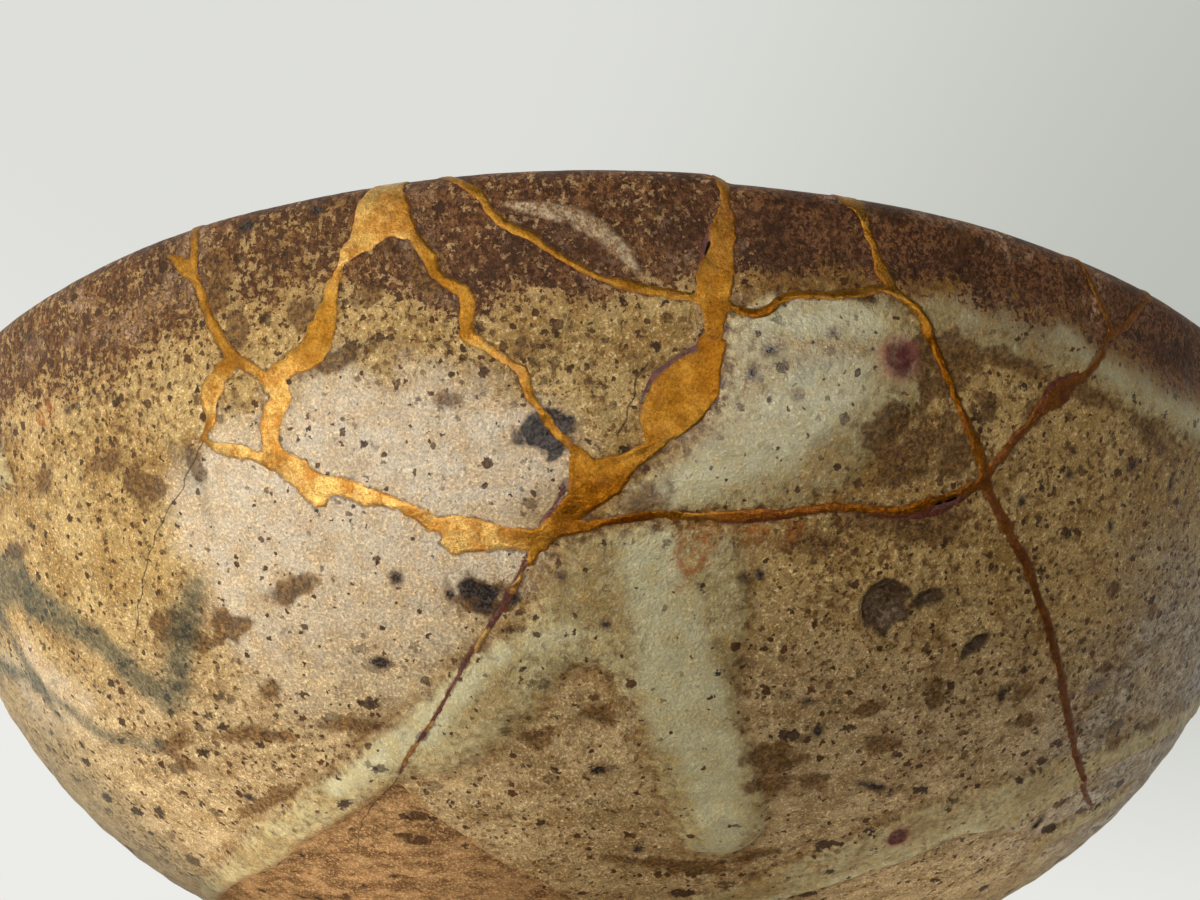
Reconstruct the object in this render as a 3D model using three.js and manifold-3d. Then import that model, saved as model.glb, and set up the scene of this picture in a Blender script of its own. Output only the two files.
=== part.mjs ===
// Kintsugi bowl: a shallow wheel-thrown stoneware bowl, broken into nine
// sherds and a main body, and joined again with lacquer and gold.
//
// Millimetres, +Z up.  The origin is the centre of the foot ring's underside,
// so the bowl stands on z = 0.  The repaired side faces -Y.
import * as THREE from 'three';
import { mergeVertices } from 'three/addons/utils/BufferGeometryUtils.js';
import Module from 'manifold-3d';

const wasm = await Module();
wasm.setup();
const { Manifold, Mesh: ManifoldMesh } = wasm;

// ---------------------------------------------------------------- dimensions
const RIM_RADIUS = 75.7;        // widest point, at the lip
const HEIGHT = 48.6;            // underside of the foot to the top of the lip
const LIP_RADIUS = 2.1;         // rounding of the lip
const WALL_AT_LIP = 4.2;        // wall thickness under the lip
const WALL_AT_BASE = 6.2;       // wall thickness where the wall meets the base
const FOOT_RADIUS = 33;         // outside of the foot where it meets the wall
const FOOT_TOP = 7.3;           // height of that junction
const FOOT_CONTACT_OUTER = 31.6; // the flat ring that the bowl stands on
const FOOT_CONTACT_INNER = 27.4;
const FOOT_RECESS = 26.4;       // radius of the hollow inside the foot
const BASE_UNDERSIDE = 5.2;     // height of the hollow's ceiling
const ROUND = 64;               // facets round the bowl
const WALL_STEPS = 11;          // facets up the wall

const GOLD_PROUD = 0.25;        // how far the gold stands out of the glaze
const SEAM_CLEARANCE = 0.25;    // gap between a sherd's edge and the gold
const REACH = 2.5;              // how far a seam cutter passes each face

// The wall's outer profile is one cubic curve from the lip down to the foot;
// the inner control points are shares of the rim radius and of the height.
const WALL_CURVE = [
  [RIM_RADIUS + 0.65, HEIGHT - 0.9],
  [RIM_RADIUS * 0.9328, HEIGHT * 0.6786],
  [RIM_RADIUS * 0.7602, HEIGHT * 0.286],
  [FOOT_RADIUS, FOOT_TOP],
];

// ------------------------------------------------------------- wall profile
function wallPoint(t) {
  const u = 1 - t;
  const w = [u * u * u, 3 * u * u * t, 3 * u * t * t, t * t * t];
  return [0, 1].map(k => WALL_CURVE.reduce((sum, p, i) => sum + w[i] * p[k], 0));
}

// Unit vector down the wall, and the outward normal that goes with it.
function wallDirection(t) {
  const a = wallPoint(Math.max(0, t - 1e-3));
  const b = wallPoint(Math.min(1, t + 1e-3));
  const length = Math.hypot(b[0] - a[0], b[1] - a[1]);
  const down = [(b[0] - a[0]) / length, (b[1] - a[1]) / length];
  return { down, out: [-down[1], down[0]] };
}

const wallThickness = t => WALL_AT_LIP + (WALL_AT_BASE - WALL_AT_LIP) * t * t;

// Distance down the wall from the lip, tabulated so that seams can be laid
// out by real length.
const TABLE = 400;
const lengthTo = [0];
for (let i = 1; i <= TABLE; i++) {
  const a = wallPoint((i - 1) / TABLE);
  const b = wallPoint(i / TABLE);
  lengthTo.push(lengthTo[i - 1] + Math.hypot(b[0] - a[0], b[1] - a[1]));
}
const WALL_LENGTH = lengthTo[TABLE];

function wallParameter(depth) {
  let i = 1;
  while (i < TABLE && lengthTo[i] < depth) i++;
  const share = (depth - lengthTo[i - 1]) / (lengthTo[i] - lengthTo[i - 1]);
  return Math.min(1, Math.max(0, (i - 1 + share) / TABLE));
}

// A point of the wall section: depth is the distance down from the lip and
// outward the distance from the outer face.  Above the lip the section runs
// straight on.
function sectionPoint(depth, outward) {
  const t = wallParameter(Math.max(0, depth));
  const [r, z] = wallPoint(t);
  const { down, out } = wallDirection(t);
  const over = Math.min(0, depth);
  return [r + down[0] * over + out[0] * outward, z + down[1] * over + out[1] * outward];
}

// ---------------------------------------------------------------- the vessel
// The section of the whole bowl as one closed profile from the axis under the
// base, out round the foot, up the wall, over the lip and down the inside.
function bowlProfile(grow) {
  const points = [];
  const add = (r, z) => points.push(new THREE.Vector2(Math.max(0, r), z));
  add(0, BASE_UNDERSIDE + 0.3);
  add(FOOT_RECESS * 0.6, BASE_UNDERSIDE + 0.2);
  add(FOOT_RECESS - 1.2, BASE_UNDERSIDE);
  add(FOOT_RECESS, BASE_UNDERSIDE - 1.1);
  add(FOOT_CONTACT_INNER - 0.2, 0.5);
  add(FOOT_CONTACT_INNER, 0);
  add(FOOT_CONTACT_OUTER, 0);
  add(FOOT_CONTACT_OUTER + 0.6, 0.7);
  add(FOOT_RADIUS - 0.5, FOOT_TOP - 1.0);
  const lipShare = wallParameter(LIP_RADIUS);
  for (let i = 0; i <= WALL_STEPS; i++) {
    const t = 1 - (1 - lipShare) * (i / WALL_STEPS);
    const [r, z] = wallPoint(t);
    const { out } = wallDirection(t);
    add(r + out[0] * grow, z + out[1] * grow);
  }
  // the lip: half a turn about the middle of the wall
  const middle = sectionPoint(LIP_RADIUS, -wallThickness(lipShare) / 2);
  const { out } = wallDirection(lipShare);
  const start = Math.atan2(out[1], out[0]);
  const LIP_STEPS = 6;
  for (let i = 1; i < LIP_STEPS; i++) {
    const a = start + Math.PI * (i / LIP_STEPS);
    add(middle[0] + (LIP_RADIUS + grow) * Math.cos(a), middle[1] + (LIP_RADIUS + grow) * Math.sin(a));
  }
  for (let i = 0; i <= WALL_STEPS; i++) {
    const t = lipShare + (1 - lipShare) * (i / WALL_STEPS);
    const [r, z] = wallPoint(t);
    const { out: n } = wallDirection(t);
    const inset = wallThickness(t) + grow;
    add(r - n[0] * inset, z - n[1] * inset);
  }
  // the inside floor: a shallow dish that carries the wall's slope to the axis
  const edge = points[points.length - 1];
  const before = points[points.length - 2];
  const slope = (before.y - edge.y) / (before.x - edge.x);
  const dish = slope / (2 * edge.x);
  for (const share of [0.72, 0.4]) {
    const r = edge.x * share;
    add(r, edge.y - dish * (edge.x * edge.x - r * r));
  }
  add(0, edge.y - dish * edge.x * edge.x);
  return points;
}

function solidFrom(geometry) {
  const bare = geometry.index ? geometry.clone() : geometry;
  for (const name of Object.keys(bare.attributes)) {
    if (name !== 'position') bare.deleteAttribute(name);
  }
  const merged = mergeVertices(bare, 1e-4);
  const position = merged.attributes.position.array;
  const faces = [];
  const index = merged.index.array;
  for (let i = 0; i < index.length; i += 3) {
    const [a, b, c] = [index[i], index[i + 1], index[i + 2]];
    if (a !== b && b !== c && c !== a) faces.push(a, b, c);
  }
  let solid = new Manifold(new ManifoldMesh({
    numProp: 3,
    vertProperties: new Float32Array(position),
    triVerts: new Uint32Array(faces),
  }));
  if (solid.volume() < 0) {
    for (let i = 0; i < faces.length; i += 3) [faces[i], faces[i + 1]] = [faces[i + 1], faces[i]];
    solid = new Manifold(new ManifoldMesh({
      numProp: 3,
      vertProperties: new Float32Array(position),
      triVerts: new Uint32Array(faces),
    }));
  }
  return solid;
}

function bowlSolid(grow) {
  const geometry = new THREE.LatheGeometry(bowlProfile(grow), ROUND);
  geometry.rotateX(Math.PI / 2);
  return solidFrom(geometry);
}

// --------------------------------------------------------------------- seams
// Each seam is a crack line on the wall: [angle in degrees from -Y towards
// +X, distance down the wall from the lip, width of the gold].
const ABOVE = -6;               // a seam that opens at the rim starts here
const SEAMS = {
  left_rim: [[-21.0, ABOVE, 0.7], [-20.7, 3.9, 0.7], [-19.9, 7.3, 0.8], [-19.0, 9.7, 0.9], [-17.0, 11.5, 0.9]],
  left_loop: [[-19.0, 9.7, 0.9], [-20.8, 11.9, 1.2], [-21.6, 14.3, 0.7], [-20.6, 15.1, 0.7], [-17.8, 16.6, 0.9]],
  broad: [[-9.9, ABOVE, 1.3], [-10.4, 3.0, 1.6], [-12.3, 4.7, 0.9], [-13.1, 6.8, 0.9], [-14.3, 10.1, 2.0],
    [-17.0, 11.5, 1.4], [-17.6, 15.4, 1.3], [-15.2, 18.6, 1.2], [-12.4, 19.6, 1.2], [-8.2, 21.9, 1.2], [-3.7, 23.3, 1.0]],
  middle: [[-9.4, 2.6, 0.7], [-7.8, 6.7, 0.7], [-6.5, 8.0, 0.8], [-6.2, 10.4, 1.0], [-3.9, 12.7, 0.7], [-3.2, 14.7, 0.6], [-1.2, 17.7, 0.6]],
  trunk: [[5.7, ABOVE, 0.9], [5.7, 2.0, 0.9], [5.7, 4.0, 1.6], [5.4, 7.6, 2.1], [5.4, 11.2, 1.5]],
  arch: [[-7.7, ABOVE, 0.6], [-7.5, 0.0, 0.6], [-4.2, 4.2, 0.6], [-1.2, 6.5, 0.5], [0.8, 7.5, 0.5], [5.4, 8.4, 0.6]],
  bridge: [[5.6, 8.2, 0.6], [7.9, 8.7, 0.6], [9.2, 7.4, 0.7], [14.4, 6.1, 0.7]],
  right_rim: [[11.8, ABOVE, 1.2], [12.0, 0.8, 1.1], [13.5, 5.1, 0.8], [15.7, 7.5, 0.7], [21.2, 16.9, 0.9]],
  right_tail: [[21.2, 16.9, 0.8], [26.5, 22.5, 0.8], [34.5, 30.4, 0.7], [40.6, 34.8, 0.6], [47.7, 37.9, 0.6], [51.9, 38.8, 0.5]],
  level: [[-2.7, 23.0, 0.7], [-0.5, 22.1, 0.6], [3.0, 21.4, 0.6], [8.1, 21.1, 0.6], [16.8, 19.9, 0.6], [21.3, 17.1, 0.7]],
  rising: [[21.2, 16.9, 0.8], [23.4, 13.1, 0.8], [25.1, 10.5, 1.5], [26.7, 8.3, 0.7], [27.9, 5.2, 0.8]],
  fork_left: [[27.9, 5.3, 0.6], [25.6, 1.2, 0.6], [25.0, ABOVE, 0.6]],
  fork_right: [[28.0, 5.3, 0.6], [31.0, 0.8, 0.6], [32.0, ABOVE, 0.6]],
  lower: [[-3.4, 23.1, 0.7], [-5.8, 27.7, 0.5], [-8.4, 30.8, 0.5], [-15.3, 39.8, 0.5]],
};
// Broader places where the gold fills a lost chip: outlines of [angle, depth].
const FILLS = {
  rim_chip: [[-10.8, 0.0], [-9.4, 0.2], [-8.8, 3.7], [-10.7, 4.0], [-12.3, 5.1], [-11.6, 1.7]],
  delta: [[-1.6, 17.8], [0.1, 18.0], [2.3, 16.8], [3.8, 16.7], [1.0, 20.1], [-1.4, 22.2], [-3.2, 23.8], [-3.6, 22.8], [-1.8, 20.0]],
  tail_chip: [[-8.6, 21.3], [-4.0, 22.2], [-3.5, 23.4], [-8.2, 23.7]],
  leaf: [[4.7, 11.2], [2.7, 13.2], [2.0, 15.6], [2.3, 17.4], [4.2, 16.7], [5.9, 14.1], [6.0, 10.6]],
};

function place(angle, depth, outward) {
  const [r, z] = sectionPoint(depth, outward);
  const a = THREE.MathUtils.degToRad(angle);
  return [r * Math.sin(a), -r * Math.cos(a), z];
}

const inwardReach = depth => -(wallThickness(wallParameter(Math.max(0, depth))) + REACH);

// A closed body through the wall between two matching outlines.
function throughWall(outline, caps) {
  const n = outline.length;
  const vertices = [];
  for (const [angle, depth] of outline) vertices.push(...place(angle, depth, REACH));
  for (const [angle, depth] of outline) vertices.push(...place(angle, depth, inwardReach(depth)));
  const faces = [];
  for (const [a, b, c] of caps) faces.push(a, b, c, n + a, n + c, n + b);
  for (let i = 0; i < n; i++) {
    const j = (i + 1) % n;
    faces.push(i, n + i, n + j, i, n + j, j);
  }
  const geometry = new THREE.BufferGeometry();
  geometry.setAttribute('position', new THREE.BufferAttribute(new Float32Array(vertices), 3));
  geometry.setIndex(faces);
  return solidFrom(geometry);
}

// The strip of gold along a seam: two rows of points, left and right of the
// line, mitred at each bend.
function seamSolid(path, widen) {
  const radius = depth => sectionPoint(Math.max(0, depth), 0)[0];
  const flat = path.map(([angle, depth]) => [THREE.MathUtils.degToRad(angle) * radius(depth), depth]);
  const left = [], right = [];
  for (let i = 0; i < path.length; i++) {
    const a = flat[Math.max(0, i - 1)], b = flat[i], c = flat[Math.min(path.length - 1, i + 1)];
    const d1 = [b[0] - a[0], b[1] - a[1]], d2 = [c[0] - b[0], c[1] - b[1]];
    const l1 = Math.hypot(...d1) || 1, l2 = Math.hypot(...d2) || 1;
    const d = [d1[0] / l1 + d2[0] / l2, d1[1] / l1 + d2[1] / l2];
    const l = Math.hypot(...d);
    const mitre = Math.min(1.4, 1 / Math.max(0.5, l / (i === 0 || i === path.length - 1 ? 1 : 2)));
    const half = (path[i][2] / 2 + widen) * mitre;
    const side = [-d[1] / l * half, d[0] / l * half];
    // the two ends of a seam inside the wall run on a little, to meet others
    const end = i === 0 ? -1 : i === path.length - 1 ? 1 : 0;
    const run = [d[0] / l * end * (0.2 + widen), d[1] / l * end * (0.2 + widen)];
    const r = radius(path[i][1]);
    const turn = (x, y) => [THREE.MathUtils.radToDeg((b[0] + x) / r), b[1] + y];
    left.push(turn(side[0] + run[0], side[1] + run[1]));
    right.push(turn(-side[0] + run[0], -side[1] + run[1]));
  }
  const n = path.length;
  const outline = [...left, ...right.reverse()];
  const caps = [];
  for (let i = 0; i < n - 1; i++) {
    const a = i, b = i + 1, c = 2 * n - 2 - i, d = 2 * n - 1 - i;
    caps.push([a, b, c], [a, c, d]);
  }
  return throughWall(outline, caps);
}

function fillSolid(outline, widen) {
  const radius = depth => sectionPoint(Math.max(0, depth), 0)[0];
  const flat = outline.map(([angle, depth]) =>
    new THREE.Vector2(THREE.MathUtils.degToRad(angle) * radius(depth), depth));
  const clockwise = THREE.ShapeUtils.isClockWise(flat) ? 1 : -1;
  const n = flat.length;
  const grown = flat.map((p, i) => {
    const d1 = p.clone().sub(flat[(i + n - 1) % n]).normalize();
    const d2 = flat[(i + 1) % n].clone().sub(p).normalize();
    const d = d1.add(d2).normalize();
    return [p.x - clockwise * d.y * widen, p.y + clockwise * d.x * widen];
  });
  const contour = grown.map(p => new THREE.Vector2(...p));
  const turned = ([a, b, c]) => THREE.ShapeUtils.isClockWise([contour[a], contour[b], contour[c]])
    !== THREE.ShapeUtils.isClockWise(contour);
  const caps = THREE.ShapeUtils.triangulateShape(contour, [])
    .map(f => turned(f) ? [f[0], f[2], f[1]] : f);
  const back = grown.map(([x, y]) => [THREE.MathUtils.radToDeg(x / radius(y)), y]);
  return throughWall(back, caps);
}

function seamNetwork(widen) {
  let all = null;
  const join = solid => { all = all ? all.add(solid) : solid; };
  for (const path of Object.values(SEAMS)) join(seamSolid(path, widen));
  for (const outline of Object.values(FILLS)) join(fillSolid(outline, widen));
  return all;
}

// -------------------------------------------------------------- the assembly
const vessel = bowlSolid(0);
const gold = seamNetwork(0).intersect(bowlSolid(GOLD_PROUD));
const parts = vessel.subtract(seamNetwork(SEAM_CLEARANCE)).decompose();

// Each sherd is known by a point inside it: [angle, depth].
const SHERDS = {
  sherd_left_rim: [-15.5, 3],
  sherd_left_small: [-18.8, 13],
  sherd_centre_left: [-11, 12],
  sherd_centre: [0, 12],
  sherd_rim_centre: [0, 2],
  sherd_rim_right: [9.5, 3],
  sherd_right: [11, 14],
  sherd_rim_far_right: [21, 6],
  sherd_rim_small: [29.4, 1.5],
};

function triangles(solid) {
  const mesh = solid.getMesh();
  return { v: mesh.vertProperties, f: mesh.triVerts, stride: mesh.numProp };
}

// Does a solid hold a point?  The winding number round the point tells.
function holds(solid, point) {
  const { v, f, stride } = triangles(solid);
  const p = new THREE.Vector3(...point);
  const corner = i => new THREE.Vector3(v[i * stride], v[i * stride + 1], v[i * stride + 2]).sub(p);
  let turn = 0;
  for (let i = 0; i < f.length; i += 3) {
    const a = corner(f[i]), b = corner(f[i + 1]), c = corner(f[i + 2]);
    const la = a.length(), lb = b.length(), lc = c.length();
    turn += 2 * Math.atan2(a.dot(b.clone().cross(c)),
      la * lb * lc + a.dot(b) * lc + b.dot(c) * la + c.dot(a) * lb);
  }
  return Math.abs(turn) > 2 * Math.PI;
}

// Float32 corners that fall together after a cut are merged into one.
function geometryFrom(solid) {
  const { v, f, stride } = triangles(solid);
  const position = new Float32Array((v.length / stride) * 3);
  for (let i = 0; i < v.length / stride; i++) {
    for (let k = 0; k < 3; k++) position[3 * i + k] = v[i * stride + k];
  }
  const geometry = new THREE.BufferGeometry();
  geometry.setAttribute('position', new THREE.BufferAttribute(position, 3));
  geometry.setIndex(Array.from(f));
  geometry.computeVertexNormals();
  return geometry;
}

const bowl = new THREE.Group();
function addPiece(name, solid, colour, roughness, metalness) {
  const material = new THREE.MeshStandardMaterial({ color: colour, roughness, metalness });
  const mesh = new THREE.Mesh(geometryFrom(solid), material);
  mesh.name = name;
  bowl.add(mesh);
}

const left = parts.slice();
const take = (angle, depth) => {
  const inside = place(angle, depth, -WALL_AT_LIP / 2);
  const i = left.findIndex(part => holds(part, inside));
  if (i < 0) throw new Error(`no piece of the bowl holds angle ${angle}, depth ${depth}`);
  return left.splice(i, 1)[0];
};

addPiece('bowl_body', take(180, 20), 0xb1966c, 0.45, 0);
const SHERD_COLOURS = {
  sherd_left_rim: 0x9c8059, sherd_left_small: 0xa88c66, sherd_centre_left: 0xc4ac8c,
  sherd_centre: 0xae9068, sherd_rim_centre: 0x6b4c38, sherd_rim_right: 0x6e5038,
  sherd_right: 0xb9b08c, sherd_rim_far_right: 0x9a8a68, sherd_rim_small: 0x664836,
};
for (const [name, [angle, depth]] of Object.entries(SHERDS)) {
  addPiece(name, take(angle, depth), SHERD_COLOURS[name], 0.4, 0);
}
if (left.length) throw new Error(`${left.length} pieces of the bowl have no name`);
addPiece('gold_seams', gold, 0xcf9a3e, 0.35, 1);

export default bowl;
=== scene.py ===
import math

import bpy
import numpy as np
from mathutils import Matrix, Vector
from mathutils.geometry import delaunay_2d_cdt


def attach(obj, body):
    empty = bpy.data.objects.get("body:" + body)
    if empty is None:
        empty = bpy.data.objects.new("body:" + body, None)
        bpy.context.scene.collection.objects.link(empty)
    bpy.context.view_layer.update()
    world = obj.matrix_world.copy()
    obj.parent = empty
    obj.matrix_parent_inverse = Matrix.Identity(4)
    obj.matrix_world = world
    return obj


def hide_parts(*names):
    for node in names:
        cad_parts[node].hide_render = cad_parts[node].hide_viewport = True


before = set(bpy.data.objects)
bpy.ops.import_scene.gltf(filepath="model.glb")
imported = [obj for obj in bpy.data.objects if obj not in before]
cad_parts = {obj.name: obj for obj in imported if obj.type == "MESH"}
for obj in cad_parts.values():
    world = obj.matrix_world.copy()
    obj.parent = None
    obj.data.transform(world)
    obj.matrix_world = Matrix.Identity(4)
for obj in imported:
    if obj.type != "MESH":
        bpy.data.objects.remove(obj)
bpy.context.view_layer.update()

# ------------------------------------------------------------------ section
# All lengths here are millimetres, and become metres when a mesh is made.
# Angle 0 faces -Y. Depth runs down the outer face from near the lip.
WALL = np.array([(76.35, 47.7), (70.61, 32.98), (57.55, 13.90), (33.0, 7.3)])
LIP = 2.1
_t = np.linspace(0, 1, 2401)[:, None]
CURVE = (1 - _t) ** 3 * WALL[0] + 3 * (1 - _t) ** 2 * _t * WALL[1] + 3 * (1 - _t) * _t**2 * WALL[2] + _t**3 * WALL[3]
LEN = np.concatenate([[0], np.cumsum(np.hypot(*np.diff(CURVE, axis=0).T))])
LTOT = LEN[-1]
_d = np.gradient(CURVE, _t[:, 0], axis=0)
_d /= np.linalg.norm(_d, axis=1)[:, None]
NORMAL = np.stack([-_d[:, 1], _d[:, 0]], 1)
THICK = 4.2 + 2.0 * _t[:, 0] ** 2


def _at(l, table):
    return np.interp(l, LEN, table)


_p0 = np.array([_at(LIP, CURVE[:, 0]), _at(LIP, CURVE[:, 1])])
_n0 = np.array([_at(LIP, NORMAL[:, 0]), _at(LIP, NORMAL[:, 1])])
LIP_C = _p0 - _n0 * _at(LIP, THICK) / 2
LIP_A = math.atan2(_n0[1], _n0[0])
LTOP = LIP - math.pi / 2 * LIP
RHO_IN = 33.0
RHO_OUT = RHO_IN + LTOT - LTOP


def outer(l):
    l = np.asarray(l, float)
    w = np.clip(l, LIP, LTOT)
    a = LIP_A + (LIP - l) / LIP
    s = l < LIP
    return (
        np.where(s, LIP_C[0] + LIP * np.cos(a), _at(w, CURVE[:, 0])),
        np.where(s, LIP_C[1] + LIP * np.sin(a), _at(w, CURVE[:, 1])),
        np.where(s, np.cos(a), _at(w, NORMAL[:, 0])),
        np.where(s, np.sin(a), _at(w, NORMAL[:, 1])),
    )


_in_end = CURVE[-1] - NORMAL[-1] * THICK[-1]
_in_prev = CURVE[-60] - NORMAL[-60] * THICK[-60]
_in_slope = (_in_prev[1] - _in_end[1]) / (_in_prev[0] - _in_end[0])
DISH = _in_slope / (2 * _in_end[0])


def inner(l):
    """The inside face. Beyond the wall's end the depth carries on over the inside floor."""
    l = np.asarray(l, float)
    w = np.clip(l, LIP, LTOT)
    a = LIP_A + math.pi - (LIP - l) / LIP
    s = l < LIP
    r = _at(w, CURVE[:, 0]) - _at(w, NORMAL[:, 0]) * _at(w, THICK)
    z = _at(w, CURVE[:, 1]) - _at(w, NORMAL[:, 1]) * _at(w, THICK)
    nr, nz = -_at(w, NORMAL[:, 0]), -_at(w, NORMAL[:, 1])
    rf = _in_end[0] * np.clip((RHO_IN - (l - LTOT)) / RHO_IN, 0, 1)
    zf = _in_end[1] - DISH * (_in_end[0] ** 2 - rf**2)
    sl = 2 * DISH * rf
    k = np.sqrt(1 + sl * sl)
    f = l > LTOT
    r, z = np.where(f, rf, r), np.where(f, zf, z)
    nr, nz = np.where(f, -sl / k, nr), np.where(f, 1 / k, nz)
    return (
        np.where(s, LIP_C[0] + LIP * np.cos(a), r),
        np.where(s, LIP_C[1] + LIP * np.sin(a), z),
        np.where(s, np.cos(a), nr),
        np.where(s, np.sin(a), nz),
    )


def place(th, r, z):
    a = np.radians(th)
    return np.stack([r * np.sin(a), -r * np.cos(a), z], -1)


def to_disc(th, l):
    rho = RHO_IN + LTOT - np.asarray(l, float)
    a = np.radians(th)
    return np.stack([rho * np.sin(a), -rho * np.cos(a)], -1)


def from_disc(xy):
    rho = np.hypot(xy[:, 0], xy[:, 1])
    return np.degrees(np.arctan2(xy[:, 0], -xy[:, 1])), RHO_IN + LTOT - rho


# ------------------------------------------------------------------ noise
_rng = np.random.default_rng(20531)
_perm = _rng.permutation(1024)
_vals = _rng.uniform(-1, 1, 1024)


def noise(p, size, seed=0):
    """Smooth noise from -1 to 1 with features of about that size."""
    q = np.asarray(p, float) / size + np.array([17.3, 5.1, 9.7]) * (seed + 1)
    i = np.floor(q).astype(np.int64)
    f = q - i
    f = f * f * f * (f * (f * 6 - 15) + 10)
    out = 0
    for dx in (0, 1):
        hx = _perm[(i[..., 0] + dx) & 1023]
        wx = f[..., 0] if dx else 1 - f[..., 0]
        for dy in (0, 1):
            hy = _perm[(hx + i[..., 1] + dy) & 1023]
            wy = f[..., 1] if dy else 1 - f[..., 1]
            for dz in (0, 1):
                h = _perm[(hy + i[..., 2] + dz) & 1023]
                wz = f[..., 2] if dz else 1 - f[..., 2]
                out = out + _vals[h] * wx * wy * wz
    return out


def fbm(p, size, octaves=3, seed=0, gain=0.5):
    total, amp, norm = 0, 1.0, 0.0
    for k in range(octaves):
        total = total + amp * noise(p, size / 2**k, seed + 7 * k)
        norm += amp
        amp *= gain
    return total / norm


def sstep(x, a, b):
    t = np.clip((x - a) / (b - a), 0, 1)
    return t * t * (3 - 2 * t)


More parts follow.
